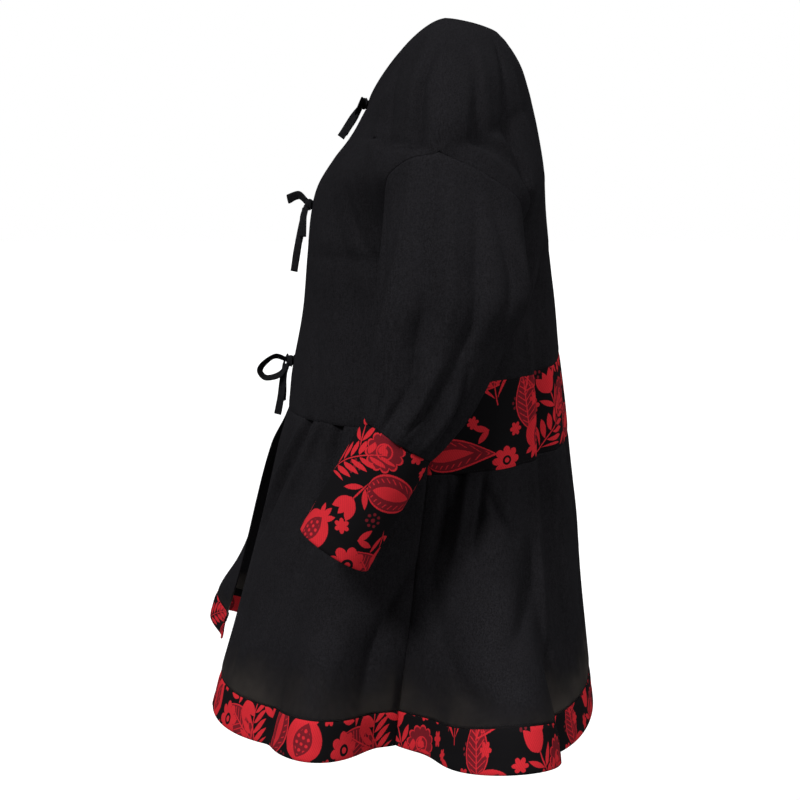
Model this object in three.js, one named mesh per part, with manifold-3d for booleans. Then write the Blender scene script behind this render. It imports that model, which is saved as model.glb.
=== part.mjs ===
// Short open-front manteau, worn form, hollow. Millimetres, +Z up.
// The front faces -Y, the wearer's left side is +X, the origin is level with the neck points.
import * as THREE from 'three';
import { mergeVertices } from 'three/addons/utils/BufferGeometryUtils.js';
import Module from 'manifold-3d';

const wasm = await Module();
wasm.setup();

// Cloth and seams
const CLOTH = 1.6;
const HALF_SEAM = 0.15;
const CUFF_INSET = 0.2;
const LEAVE_STEP = 0.06;
const ARMPIT_CLEAR = 2.4;
const ARMPIT_REACH = 0.13;
const LEFT = 1;
const RIGHT = -1;

// Smallest share, for the centre edge and for equal shares, and steps for slopes
const EDGE = 1e-6;
const NORMAL_STEP = 0.004;
const SPAN_STEP = 0.01;

// Heights as a share: -1 is the hem, 0 the front waist seam, 1 the neckline
const HEM = -1;
const HEM_BAND_TOP = -0.9;
const BAND_BOTTOM = -0.14;
const WAIST = 0;
const BAND_TOP = 0.11;
const ARMPIT = 0.42;
const SHOULDER_TIP = 0.76;
const NECKLINE = 1;

// Side seam from the hem to the armpit: v, x, y, z
const SIDE_SEAM = [
  [-1.00, 228, -50, -782],
  [-0.90, 227, -46, -745],
  [-0.57, 221, -33, -636],
  [-0.14, 208, -16, -490],
  [0.00, 203, -13, -442],
  [0.11, 198, -12, -394],
  [0.28, 186, -6, -318],
  [0.42, 172, 5, -262],
];

// Front half of the dropped armhole, armpit to shoulder tip: v, x, y, z
const ARMHOLE_FRONT = [
  [0.42, 172, 5, -262],
  [0.52, 186, -42, -224],
  [0.61, 214, -60, -180],
  [0.69, 240, -38, -156],
  [0.76, 252, -5, -149],
];

// Back half of the dropped armhole: v, x, y, z
const ARMHOLE_BACK = [
  [0.42, 172, 5, -262],
  [0.52, 184, 56, -238],
  [0.61, 212, 82, -203],
  [0.69, 238, 45, -172],
  [0.76, 252, -5, -149],
];

// Shoulder seam from its tip on the upper arm to the neck point: v, x, y, z
const SHOULDER_SEAM = [
  [0.76, 252, -5, -149],
  [0.82, 243, -3, -112],
  [0.88, 214, 0, -70],
  [0.93, 172, 3, -38],
  [0.97, 124, 5, -15],
  [1.00, 80, 5, 0],
];

// Front rows: v, front edge x y z, its handle x y z, side handle x y z
const FRONT_ROWS = [
  [-1.00, 72, -264, -784, 128, 10, 0, 48, -112, 0],
  [-0.90, 65, -255, -747, 122, 8, 0, 44, -110, 0],
  [-0.70, 48, -236, -682, 112, 4, 0, 32, -104, 0],
  [-0.37, 24, -206, -567, 106, 2, 0, 18, -98, 0],
  [-0.14, 8, -189, -490, 108, 0, 0, 10, -98, 0],
  [0.00, 4, -176, -442, 112, 0, 0, 6, -98, 0],
  [0.11, 4, -171, -398, 110, 0, 0, 4, -96, 0],
  [0.28, 4, -158, -326, 104, 0, 0, 8, -98, 0],
  [0.42, 4, -152, -262, 98, 0, 0, 16, -112, 0],
  [0.52, 4, -148, -218, 92, 0, 0, -10, -50, 6],
  [0.61, 4, -140, -184, 84, 2, 0, -45, -28, 9],
  [0.69, 4, -122, -154, 80, 4, 4, -48, -32, 22],
  [0.76, 4, -107, -135, 76, 6, 8, -14, -50, 12],
  [0.82, 4, -98, -122, 70, 8, 10, -6, -46, -4],
  [0.88, 4, -91, -110, 62, 8, 12, -4, -48, -8],
  [0.93, 4, -86, -101, 55, 8, 10, -4, -46, -8],
  [0.97, 4, -82, -94, 48, 5, 8, 0, -44, -9],
  [1.00, 4, -80, -88, 44, 0, 6, 6, -44, -10],
];

// Back rows, the same columns from the centre back
const BACK_ROWS = [
  [-1.00, 0, 184, -782, 156, 0, 0, 176, 176, 0],
  [-0.90, 0, 180, -744, 155, 0, 0, 158, 168, 0],
  [-0.70, 0, 172, -668, 152, 0, 0, 110, 145, 0],
  [-0.37, 0, 162, -550, 155, 0, -4, 45, 115, 4],
  [-0.14, 0, 152, -465, 155, 0, -8, 22, 104, 6],
  [0.11, 0, 141, -374, 150, 0, -8, 18, 104, 4],
  [0.28, 0, 134, -312, 140, 0, 0, 12, 100, 0],
  [0.42, 0, 125, -255, 128, 0, 0, 16, 112, 0],
  [0.52, 0, 122, -205, 118, 0, 0, -10, 46, 12],
  [0.61, 0, 118, -158, 108, 0, 0, -45, 26, 16],
  [0.69, 0, 113, -118, 100, 0, 0, -42, 38, 24],
  [0.76, 0, 107, -88, 92, 0, 0, -12, 56, 14],
  [0.82, 0, 102, -70, 84, 0, 0, -6, 54, 2],
  [0.88, 0, 95, -50, 74, 0, 2, -4, 50, -8],
  [0.93, 0, 86, -34, 64, 0, 3, -4, 44, -9],
  [0.97, 0, 77, -22, 54, 0, 3, -2, 38, -8],
  [1.00, 0, 68, -12, 44, 0, 0, 4, 36, -5],
];

// How much further the right front edge swings open: v, out, y, z
const RIGHT_SWING = [
  [-1.00, 64, -11, 20],
  [-0.90, 57, -12, 16],
  [-0.70, 36, -12, 10],
  [-0.37, 15, -13, 4],
  [-0.14, 5, -9, 1],
  [0.00, 0, 0, 0],
  [1.00, 0, 0, 0],
];

// Folds and hem lobes, outward heights in mm along lines from vA to vB.
// Shares sA and sB run from 0 at the centre to 1 at the side; widths are half widths.
const FOLDS = [
  { face: 'front', side: 0, vA: 0, vB: -1, sA: 0.68, sB: 0.73, high: [0, 15, 66], wide: [24, 70] },
  { face: 'front', side: 0, vA: 0, vB: -0.48, sA: 0.40, sB: 0.06, high: [-8, -8, 0], wide: [12, 16] },
  { face: 'front', side: 0, vA: 0, vB: -0.36, sA: 0.50, sB: 0.30, high: [6, 5, 0], wide: [12, 20] },
  { face: 'front', side: 0, vA: 0, vB: -0.45, sA: 0.60, sB: 0.54, high: [-8, -6, 0], wide: [12, 18] },
  { face: 'front', side: 0, vA: 0.72, vB: 0.2, sA: 0.74, sB: 0.84, high: [0, -8, 0], wide: [26, 34] },
  { face: 'front', side: 0, vA: 0.95, vB: 0.66, sA: 0.80, sB: 0.88, high: [0, -5, 0], wide: [20, 24] },
  { face: 'front', side: RIGHT, vA: 0, vB: -1, sA: 0.18, sB: 0.21, high: [0, 12, 44], wide: [24, 62] },
  { face: 'back', side: 0, vA: 0.11, vB: -1, sA: 0.74, sB: 0.745, high: [0, 18, 90], wide: [28, 98] },
  { face: 'back', side: LEFT, vA: 0.50, vB: 0, sA: 0.44, sB: 0.44, high: [0, -9, -18], wide: [34, 26] },
  { face: 'back', side: LEFT, vA: 0, vB: -0.95, sA: 0.44, sB: 0.43, high: [-18, -14, 0], wide: [26, 38] },
  { face: 'back', side: RIGHT, vA: 0.46, vB: 0, sA: 0.46, sB: 0.48, high: [0, -7, -15], wide: [38, 32] },
  { face: 'back', side: RIGHT, vA: 0, vB: -0.85, sA: 0.48, sB: 0.50, high: [-15, -10, 0], wide: [32, 46] },
  { face: 'back', side: 0, vA: -0.14, vB: -0.42, sA: 0.88, sB: 0.94, high: [-7, -6, 0], wide: [11, 18] },
  { face: 'back', side: 0, vA: -0.14, vB: -0.36, sA: 0.20, sB: 0.16, high: [-7, -5, 0], wide: [12, 18] },
  { face: 'back', side: 0, vA: 0.96, vB: 0.55, sA: 0.72, sB: 0.80, high: [0, -7, 0], wide: [22, 28] },
];

// Sleeve sections below the armhole: share of length, centre x y z, half sizes, tilt in degrees
const SLEEVE_ROWS = [
  [0.34, 257, 8, -284, 57, 77, 6],
  [0.56, 265, -7, -338, 57, 67, 9],
  [0.80, 275, -24, -396, 51, 55, 17],
  [0.94, 282, -41, -428, 42, 46, 28],
  [1.00, 284, -47, -439, 37, 41, 32.5],
];

// Sleeve folds: share of length, angle in degrees at both ends, heights, half widths in degrees
const SLEEVE_FOLDS = [
  { uA: 0.1, uB: 1.0, aA: 150, aB: 120, high: [0, 6, 2], wide: [22, 18] },
  { uA: 0.35, uB: 1.0, aA: 190, aB: 178, high: [0, 5, 3], wide: [18, 16] },
  { uA: 0.2, uB: 0.9, aA: 172, aB: 150, high: [0, -5, 0], wide: [18, 14] },
  { uA: 0.0, uB: 0.5, aA: 12, aB: 40, high: [0, -6, 0], wide: [26, 20] },
];
const GATHER_START = 0.62;
const GATHER_HEIGHT = 2.6;
const GATHERS = 10;
const GATHER_LEFT = 0.97;

// Cuff
const CUFF_TOP = [284, -47, -439];
const CUFF_END = [281, -113, -554];
const CUFF_HALF_TOP = [36, 40];
const CUFF_HALF_END = [37.5, 40.5];

// Ties
const TIE_THICK = 1.6;
const TIE_CLEAR = 1.6;
const KNOT = [6, 5, 6.5];
const STRAP_SHARES = [0.08, 0.03];

// Grid divisions
const FRONT_COLUMNS = 12;
const BACK_COLUMNS = 26;
const SKIRT_FRONT_COLUMNS = 21;
const SKIRT_BACK_COLUMNS = 42;
const BODICE_ROWS = [
  0, 0.055, 0.11, 0.165, 0.22, 0.28, 0.35, 0.42, 0.455, 0.49, 0.525, 0.56, 0.595, 0.63,
  0.665, 0.70, 0.73, 0.76, 0.79, 0.82, 0.85, 0.88, 0.91, 0.94, 0.97, 1,
];
const SKIRT_ROWS = [-0.9, -0.8, -0.7, -0.6, -0.5, -0.4, -0.3, -0.22, -0.14, -0.07, 0];
const WAIST_BAND_ROWS = [BAND_BOTTOM, -0.07, WAIST, 0.055, BAND_TOP];
const HEM_BAND_ROWS = [HEM, (HEM + HEM_BAND_TOP) / 2, HEM_BAND_TOP];
const SLEEVE_STEPS = [0, 0.08, 0.17, 0.26, 0.34, 0.44, 0.54, 0.64, 0.74, 0.84, 0.92, 1];
const CUFF_COLUMNS = 32;
const CUFF_STEPS = [0, 0.33, 0.67, 1];

// Small mathematics
const smooth = (t) => t * t * (3 - 2 * t);
const mix = (a, b, t) => a + (b - a) * t;

// Reads the columns of a table at v with a smooth curve through its rows
function sample(table, v) {
  const last = table.length - 1;
  let k = 0;
  while (k < last - 1 && v > table[k + 1][0]) k += 1;
  const a = table[k];
  const b = table[k + 1];
  const before = table[Math.max(k - 1, 0)];
  const after = table[Math.min(k + 2, last)];
  const span = b[0] - a[0];
  const t = (v - a[0]) / span;
  const columns = [];
  for (let c = 1; c < a.length; c += 1) {
    const slopeA = (b[c] - before[c]) / (b[0] - before[0]) * span;
    const slopeB = (after[c] - a[c]) / (after[0] - a[0]) * span;
    const t2 = t * t;
    const t3 = t2 * t;
    columns.push(
      (2 * t3 - 3 * t2 + 1) * a[c] + (t3 - 2 * t2 + t) * slopeA
      + (3 * t2 - 2 * t3) * b[c] + (t3 - t2) * slopeB,
    );
  }
  return columns;
}

// The edge that front and back share, or that meets the sleeve
function edgePoint(face, v) {
  let table = SIDE_SEAM;
  if (v > ARMPIT) table = face === 'front' ? ARMHOLE_FRONT : ARMHOLE_BACK;
  if (v > SHOULDER_TIP) table = SHOULDER_SEAM;
  return new THREE.Vector3(...sample(table, v));
}

// Control points of one row on the wearer's left
function rowCurve(face, side, v) {
  const row = sample(face === 'front' ? FRONT_ROWS : BACK_ROWS, v);
  const start = new THREE.Vector3(row[0], row[1], row[2]);
  if (face === 'front' && side === RIGHT) start.add(new THREE.Vector3(...sample(RIGHT_SWING, v)));
  const end = edgePoint(face, v);
  const startHandle = start.clone().add(new THREE.Vector3(row[3], row[4], row[5]));
  const endHandle = end.clone().add(new THREE.Vector3(row[6], row[7], row[8]));
  return new THREE.CubicBezierCurve3(start, startHandle, endHandle, end);
}

// Outward height of the folds at share s of a row
function foldHeight(face, side, s, v, rowLength) {
  let height = 0;
  for (const fold of FOLDS) {
    const t = (v - fold.vA) / (fold.vB - fold.vA);
    const here = fold.face === face && (fold.side === 0 || fold.side === side);
    if (!here || t < 0 || t > 1) continue;
    const [start, middle, end] = fold.high;
    const peak = t < 0.5
      ? mix(start, middle, smooth(2 * t))
      : mix(middle, end, smooth(2 * t - 1));
    const away = Math.abs(s - mix(fold.sA, fold.sB, t)) * rowLength;
    const across = away / mix(fold.wide[0], fold.wide[1], t);
    if (across < 1) height += peak * (1 - smooth(across));
  }
  return height;
}

// Point of a panel; signed is the share of the row, positive on the wearer's left
function basePoint(face, signed, v) {
  const side = signed < 0 ? RIGHT : LEFT;
  const point = rowCurve(face, side, v).getPoint(Math.abs(signed));
  point.x *= side;
  return point;
}

// Adds the folds along the cloth's outward direction
function panelPoint(face, signed, v) {
  const side = signed < 0 ? RIGHT : LEFT;
  const point = basePoint(face, signed, v);
  const rowLength = rowCurve(face, side, v).getLength();
  const height = foldHeight(face, side, Math.abs(signed), v, rowLength);
  if (height === 0) return point;
  return point.addScaledVector(panelNormal(face, signed, v), height);
}

function panelNormal(face, signed, v) {
  const after = basePoint(face, signed + NORMAL_STEP, v);
  const along = after.sub(basePoint(face, signed - NORMAL_STEP, v));
  const above = basePoint(face, signed, Math.min(v + NORMAL_STEP, NECKLINE));
  const up = above.sub(basePoint(face, signed, Math.max(v - NORMAL_STEP, HEM)));
  const normal = along.cross(up).normalize();
  return face === 'front' ? normal : normal.negate();
}

// Directions in which the pieces leave a seam
function panelLeaving(face, v) {
  const curve = rowCurve(face, LEFT, v);
  return curve.v2.clone().sub(curve.v3).normalize();
}

function sleeveLeaving(start) {
  return sleevePoint(start, LEAVE_STEP).sub(start.point).normalize();
}

// How far two walls stop before their seam line, mitred by their angle
function seamInset(one, other) {
  return HALF_SEAM + CLOTH / 2 / Math.tan(one.angleTo(other) / 2);
}

function armholeInset(start) {
  return seamInset(panelLeaving(start.face, start.v), sleeveLeaving(start));
}

function edgeInset(face, v) {
  const insets = [];
  if (v <= ARMPIT || v >= SHOULDER_TIP) {
    insets.push(seamInset(panelLeaving('front', v), panelLeaving('back', v)));
  }
  const start = ARMHOLE.find((item) => item.face === face && Math.abs(item.v - v) < EDGE);
  if (start) insets.push(armholeInset(start));
  return Math.max(...insets);
}

// Grid of a panel between two signed shares, with its seams held back
function panelGrid(face, from, to, columns, rows, insets) {
  const grid = [];
  rows.forEach((v, j) => {
    const shift = j === 0 ? 1 : j === rows.length - 1 ? -1 : 0;
    const near = rows[j + shift];
    const line = [];
    for (let i = 0; i <= columns; i += 1) {
      const sideInset = edgeInset(face, v) / lastSpan(face, v);
      const low = Math.abs(from) === 1 ? from * (1 - sideInset) : from;
      const high = Math.abs(to) === 1 ? to * (1 - sideInset) : to;
      const signed = mix(low, high, i / columns);
      const point = panelPoint(face, signed, v);
      const inset = shift === 1 ? insets.bottom : insets.top;
      if (shift !== 0 && inset > 0) {
        const inward = panelPoint(face, signed, near).sub(point).normalize();
        point.addScaledVector(inward, inset);
      }
      line.push(point);
    }
    grid.push(line);
  });
  return grid;
}

// Length of a row for one unit of share, measured at its side edge
function lastSpan(face, v) {
  const curve = rowCurve(face, LEFT, v);
  return curve.getPoint(1).distanceTo(curve.getPoint(1 - SPAN_STEP)) / SPAN_STEP;
}

function rowsBetween(list, low, high) {
  return list.filter((v) => v > low - EDGE && v < high + EDGE);
}

// Unit normals of a grid from its neighbours
function gridNormals(grid, closed) {
  const rows = grid.length;
  const columns = grid[0].length;
  return grid.map((line, j) => line.map((point, i) => {
    const left = closed ? line[(i - 1 + columns) % columns] : line[Math.max(i - 1, 0)];
    const right = closed ? line[(i + 1) % columns] : line[Math.min(i + 1, columns - 1)];
    const below = grid[Math.max(j - 1, 0)][i];
    const above = grid[Math.min(j + 1, rows - 1)][i];
    return right.clone().sub(left).cross(above.clone().sub(below)).normalize();
  }));
}

function signedVolume(points, faces) {
  let volume = 0;
  for (const [a, b, c] of faces) volume += points[a].dot(points[b].clone().cross(points[c]));
  return volume;
}

function toGeometry(points, faces) {
  const outward = signedVolume(points, faces) > 0;
  const geometry = new THREE.BufferGeometry();
  const position = points.flatMap((p) => [p.x, p.y, p.z]);
  const index = faces.flatMap(([a, b, c]) => (outward ? [a, b, c] : [a, c, b]));
  geometry.setAttribute('position', new THREE.Float32BufferAttribute(position, 3));
  geometry.setIndex(index);
  geometry.computeVertexNormals();
  return geometry;
}

// A closed wall of cloth about a grid of points on its middle
function wall(grid, thick, closed = false) {
  const rows = grid.length;
  const columns = grid[0].length;
  const normals = gridNormals(grid, closed);
  const points = [];
  for (const sign of [1, -1]) {
    for (let j = 0; j < rows; j += 1) {
      for (let i = 0; i < columns; i += 1) {
        points.push(grid[j][i].clone().addScaledVector(normals[j][i], sign * thick / 2));
      }
    }
  }
  const layer = rows * columns;
  const at = (j, i, k) => k * layer + j * columns + (i % columns);
  const faces = [];
  const quad = (a, b, c, d) => faces.push([a, b, c], [a, c, d]);
  const spans = closed ? columns : columns - 1;
  for (let j = 0; j < rows - 1; j += 1) {
    for (let i = 0; i < spans; i += 1) {
      quad(at(j, i, 0), at(j, i + 1, 0), at(j + 1, i + 1, 0), at(j + 1, i, 0));
      quad(at(j, i, 1), at(j + 1, i, 1), at(j + 1, i + 1, 1), at(j, i + 1, 1));
    }
  }
  for (let i = 0; i < spans; i += 1) {
    quad(at(0, i, 0), at(0, i, 1), at(0, i + 1, 1), at(0, i + 1, 0));
    quad(at(rows - 1, i, 1), at(rows - 1, i, 0), at(rows - 1, i + 1, 0), at(rows - 1, i + 1, 1));
  }
  if (!closed) {
    const end = columns - 1;
    for (let j = 0; j < rows - 1; j += 1) {
      quad(at(j, 0, 1), at(j, 0, 0), at(j + 1, 0, 0), at(j + 1, 0, 1));
      quad(at(j, end, 0), at(j, end, 1), at(j + 1, end, 1), at(j + 1, end, 0));
    }
  }
  return toGeometry(points, faces);
}

// Armhole loop from the armpit up the front, over the tip and down the back,
// each seam row followed by the middle of its chord, with the angle round the sleeve
function armholeLoop() {
  const rows = rowsBetween(BODICE_ROWS, ARMPIT, SHOULDER_TIP);
  const loop = [];
  for (const face of ['front', 'back']) {
    const corners = rows.map((v) => edgePoint(face, v));
    const points = [];
    const shares = [];
    corners.forEach((corner, k) => {
      points.push(corner);
      shares.push(rows[k]);
      if (k === corners.length - 1) return;
      points.push(corner.clone().lerp(corners[k + 1], 0.5));
      shares.push(mix(rows[k], rows[k + 1], 0.5));
    });
    const lengths = [0];
    for (let k = 1; k < points.length; k += 1) {
      lengths.push(lengths[k - 1] + points[k].distanceTo(points[k - 1]));
    }
    const total = lengths[lengths.length - 1];
    const half = points.map((point, k) => (
      { face, v: shares[k], point, angle: Math.PI * lengths[k] / total }
    ));
    if (face === 'back') {
      half.reverse();
      half.forEach((item) => { item.angle = 2 * Math.PI - item.angle; });
    }
    half.pop();
    loop.push(...half);
  }
  return loop;
}
const ARMHOLE = armholeLoop();

// Point of a tilted oval ring; angle 0 is the inner side, 90 degrees the front
function ringPoint(centre, halfX, halfY, tilt, angle) {
  const x = -Math.cos(angle) * halfX;
  const y = -Math.sin(angle) * halfY;
  const lean = THREE.MathUtils.degToRad(tilt);
  return new THREE.Vector3(
    centre[0] + x,
    centre[1] + y * Math.cos(lean),
    centre[2] - y * Math.sin(lean),
  );
}

function sleeveFoldHeight(u, angle) {
  let height = 0;
  const degrees = THREE.MathUtils.radToDeg(angle);
  for (const fold of SLEEVE_FOLDS) {
    const t = (u - fold.uA) / (fold.uB - fold.uA);
    if (t < 0 || t > 1) continue;
    const [start, middle, end] = fold.high;
    const peak = t < 0.5
      ? mix(start, middle, smooth(2 * t))
      : mix(middle, end, smooth(2 * t - 1));
    const away = Math.abs(degrees - mix(fold.aA, fold.aB, t));
    const across = away / mix(fold.wide[0], fold.wide[1], t);
    if (across < 1) height += peak * (1 - smooth(across));
  }
  if (u > GATHER_START) {
    const along = (u - GATHER_START) / (1 - GATHER_START);
    const rise = Math.sin(Math.PI * Math.min(along, GATHER_LEFT));
    height += GATHER_HEIGHT * rise * Math.cos(GATHERS * angle);
  }
  return height;
}

// Point of the sleeve's middle surface for one armhole point
function sleevePoint(start, u) {
  const rows = [[0, start.point.x, start.point.y, start.point.z]];
  for (const [share, x, y, z, halfX, halfY, tilt] of SLEEVE_ROWS) {
    const point = ringPoint([x, y, z], halfX, halfY, tilt, start.angle);
    rows.push([share, point.x, point.y, point.z]);
  }
  const point = new THREE.Vector3(...sample(rows, u));
  const height = sleeveFoldHeight(u, start.angle);
  const outward = new THREE.Vector3(-Math.cos(start.angle), -Math.sin(start.angle), 0);
  return point.addScaledVector(outward, height);
}

function sleeveGrid(side) {
  const grid = SLEEVE_STEPS.map((u) => ARMHOLE.map((start) => sleevePoint(start, u)));
  const last = grid.length - 1;
  ARMHOLE.forEach((start, i) => {
    const folded = Math.max(0, 1 - (start.v - ARMPIT) / ARMPIT_REACH);
    grid[0][i].addScaledVector(sleeveLeaving(start), armholeInset(start) + ARMPIT_CLEAR * folded);
    const back = grid[last - 1][i].clone().sub(grid[last][i]).normalize();
    grid[last][i].addScaledVector(back, CUFF_INSET);
  });
  for (const point of grid.flat()) point.x *= side;
  return grid;
}

function cuffGrid(side) {
  const tilt = SLEEVE_ROWS[SLEEVE_ROWS.length - 1][6];
  const top = new THREE.Vector3(...CUFF_TOP);
  const axis = new THREE.Vector3(...CUFF_END).sub(top);
  return CUFF_STEPS.map((t) => {
    const centre = top.clone().addScaledVector(axis, t);
    if (t === 0) centre.addScaledVector(axis.clone().normalize(), CUFF_INSET);
    const line = [];
    for (let i = 0; i < CUFF_COLUMNS; i += 1) {
      const angle = 2 * Math.PI * i / CUFF_COLUMNS;
      const halfX = mix(CUFF_HALF_TOP[0], CUFF_HALF_END[0], t);
      const halfY = mix(CUFF_HALF_TOP[1], CUFF_HALF_END[1], t);
      const point = ringPoint(centre.toArray(), halfX, halfY, tilt, angle);
      point.x *= side;
      line.push(point);
    }
    return line;
  });
}

// Materials: black crepe, and black cotton printed in red
function clothMaterial(color, roughness) {
  return new THREE.MeshStandardMaterial({ color, roughness, metalness: 0, side: THREE.DoubleSide });
}
const CREPE = 0x1b1b1f;
const PRINT = 0x7a1420;
const TIE = 0x202024;

const manteau = new THREE.Group();
function add(name, geometry, color, roughness = 0.85) {
  const mesh = new THREE.Mesh(geometry, clothMaterial(color, roughness));
  mesh.name = name;
  manteau.add(mesh);
}

// Which seams hold a piece back: the free edges at the neckline and the hem hold nothing back
const SEAMED = { bottom: HALF_SEAM, top: HALF_SEAM };
const FREE_TOP = { bottom: HALF_SEAM, top: 0 };
const FREE_BOTTOM = { bottom: 0, top: HALF_SEAM };

// Front pieces, cut once for each side
function addFronts() {
  for (const side of [LEFT, RIGHT]) {
    const word = side === LEFT ? 'left' : 'right';
    const from = side === LEFT ? EDGE : RIGHT;
    const to = side === LEFT ? LEFT : -EDGE;
    const bodiceRows = rowsBetween(BODICE_ROWS, WAIST, NECKLINE);
    const bodice = panelGrid('front', from, to, FRONT_COLUMNS, bodiceRows, FREE_TOP);
    add(`bodice_front_${word}`, wall(bodice, CLOTH), CREPE);
    const skirtRows = rowsBetween(SKIRT_ROWS, HEM_BAND_TOP, WAIST);
    const skirt = panelGrid('front', from, to, SKIRT_FRONT_COLUMNS, skirtRows, SEAMED);
    add(`skirt_front_${word}`, wall(skirt, CLOTH), CREPE);
    const band = panelGrid('front', from, to, SKIRT_FRONT_COLUMNS, HEM_BAND_ROWS, FREE_BOTTOM);
    add(`hem_band_front_${word}`, wall(band, CLOTH), PRINT);
  }
}

// Back pieces, each cut in one from side seam to side seam
function addBacks() {
  const bodiceRows = rowsBetween(BODICE_ROWS, BAND_TOP, NECKLINE);
  const bodice = panelGrid('back', LEFT, RIGHT, BACK_COLUMNS, bodiceRows, FREE_TOP);
  add('bodice_back', wall(bodice, CLOTH), CREPE);
  const band = panelGrid('back', LEFT, RIGHT, SKIRT_BACK_COLUMNS, WAIST_BAND_ROWS, SEAMED);
  add('waist_band_back', wall(band, CLOTH), PRINT);
  const skirtRows = rowsBetween(SKIRT_ROWS, HEM_BAND_TOP, BAND_BOTTOM);
  const skirt = panelGrid('back', LEFT, RIGHT, SKIRT_BACK_COLUMNS, skirtRows, SEAMED);
  add('skirt_back', wall(skirt, CLOTH), CREPE);
  const hem = panelGrid('back', LEFT, RIGHT, SKIRT_BACK_COLUMNS, HEM_BAND_ROWS, FREE_BOTTOM);
  add('hem_band_back', wall(hem, CLOTH), PRINT);
}

function addSleeves() {
  for (const side of [LEFT, RIGHT]) {
    const word = side === LEFT ? 'left' : 'right';
    add(`sleeve_${word}`, wall(sleeveGrid(side), CLOTH, true), CREPE);
    add(`cuff_${word}`, wall(cuffGrid(side), CLOTH, true), PRINT);
  }
}

// Bows: height of the tie on the front edge, then ribbons from the knot.
// Ribbon rows: x, y, z from the knot and the half width's x, y, z
const BOWS = [
  {
    name: 'bow_neck',
    v: 0.985,
    ribbons: [
      [
        [2, 0, 0, 0, 1, 5],
        [16, -3, 2, 0, 1, 5],
        [28, -6, -3, 0, 2, 5],
        [17, -8, -9, 0, 2, 5],
        [2, -3, -3, 0, 1, 5],
      ],
      [
        [-2, 0, 0, 0, 1, 5],
        [-15, -3, 2, 0, 1, 5],
        [-25, -6, -4, 0, 2, 5],
        [-15, -8, -10, 0, 2, 5],
        [-2, -3, -3, 0, 1, 5],
      ],
      [
        [3, -3, -2, 2, 2, -2],
        [8, -11, -14, 2, 3, -3],
        [10, -19, -27, 2, 3.5, -3],
        [9, -27, -39, 2, 3.5, -3],
      ],
      [
        [-3, -3, -2, 4, 2, -2],
        [-9, -8, -14, 4, 1, -2],
        [-13, -15, -26, 4, 0, -2],
        [-14, -21, -36, 4, 0, -2],
      ],
    ],
  },
  {
    name: 'bow_bust',
    v: 0.55,
    ribbons: [
      [
        [2, -3, -1, 1, 3, 0],
        [6, -6.5, -14, 1, 4, 0],
        [9, -7, -34, 1, 4, 0],
        [12, -7, -35, 1, 4, 0],
        [9, -6.5, -16, 1, 4, 0],
        [3, -3, -3, 1, 3, 0],
      ],
      [
        [-1, -2, 3, 1, 0, 4],
        [-6, -12, 11, 1, 0, 4.5],
        [-9, -24, 7, 1, -1, 5],
        [-5, -24, 6, 1, -1, 5],
        [-3, -12, 10, 1, 0, 4.5],
        [-1, -2, 1, 1, 0, 4],
      ],
      [
        [3, -5, -4, 2, 3, 0],
        [6, -8, -24, 1.5, 4.3, 0],
        [7, -13, -48, 1.5, 4.3, -1],
        [6, -18, -78, 1.5, 4.3, -1],
      ],
      [
        [-3, -3, -4, 4, -2, 0],
        [-7, -8, -20, 4, -2, 0],
        [-10, -11, -40, 4, -2, 0],
        [-11, -14, -60, 4, -2, 0],
      ],
    ],
  },
  {
    name: 'bow_waist',
    v: 0.13,
    ribbons: [
      [
        [2, -3, 1, 2, 0, 3],
        [8, -17, 6, 3, 0, 3.2],
        [12, -30, -2, 3, -2.2, 2.4],
        [13, -35, -11, 3, -3.2, 0],
        [12, -28, -19, 3, -1.5, -3],
        [9, -13, -16, 3, 1, -3.2],
        [3, -3, -5, 2, 1, -3],
      ],
      [
        [-2, -3, 1, 0, 1, 3.5],
        [-14, -6, 3, 0, 2, 4],
        [-27, -9, -4, 0, 2, 4],
        [-29, -10, -10, 0, 2, 4],
        [-15, -8, -9, 0, 2, 4],
        [-3, -3, -4, 0, 1, 3.5],
      ],
      [
        [3, -5, -4, 2, 3, 0],
        [6, -8, -20, 1.5, 4, -1],
        [8, -11, -42, 1.5, 4.2, -1],
        [8, -15, -63, 1.5, 4.2, -1],
      ],
      [
        [-3, -3, -4, 4, -2, 0],
        [-9, -7, -18, 4, -2, 0],
        [-13, -8, -34, 4, -2, 0],
        [-15, -9, -50, 4, -2, 0],
      ],
    ],
  },
];

// A ribbon wall through rows of centre and half width
function ribbonSolid(rows, steps) {
  const centres = new THREE.CatmullRomCurve3(rows.map((r) => new THREE.Vector3(r[0], r[1], r[2])));
  const widths = new THREE.CatmullRomCurve3(rows.map((r) => new THREE.Vector3(r[3], r[4], r[5])));
  const grid = [];
  for (let k = 0; k <= steps; k += 1) {
    const centre = centres.getPoint(k / steps);
    const half = widths.getPoint(k / steps);
    grid.push([-1, 1].map((sign) => centre.clone().addScaledVector(half, sign)));
  }
  return toSolid(wall(grid, TIE_THICK));
}

function toSolid(source) {
  const bare = source.clone();
  bare.deleteAttribute('normal');
  bare.deleteAttribute('uv');
  const merged = mergeVertices(bare, 1e-4);
  return new wasm.Manifold(new wasm.Mesh({
    numProp: 3,
    vertProperties: new Float32Array(merged.attributes.position.array),
    triVerts: new Uint32Array(merged.index.array),
  }));
}

function fromSolid(solid) {
  const mesh = solid.getMesh();
  const geometry = new THREE.BufferGeometry();
  geometry.setAttribute('position', new THREE.BufferAttribute(mesh.vertProperties, 3));
  geometry.setIndex(new THREE.BufferAttribute(mesh.triVerts, 1));
  geometry.computeVertexNormals();
  return geometry;
}

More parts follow.
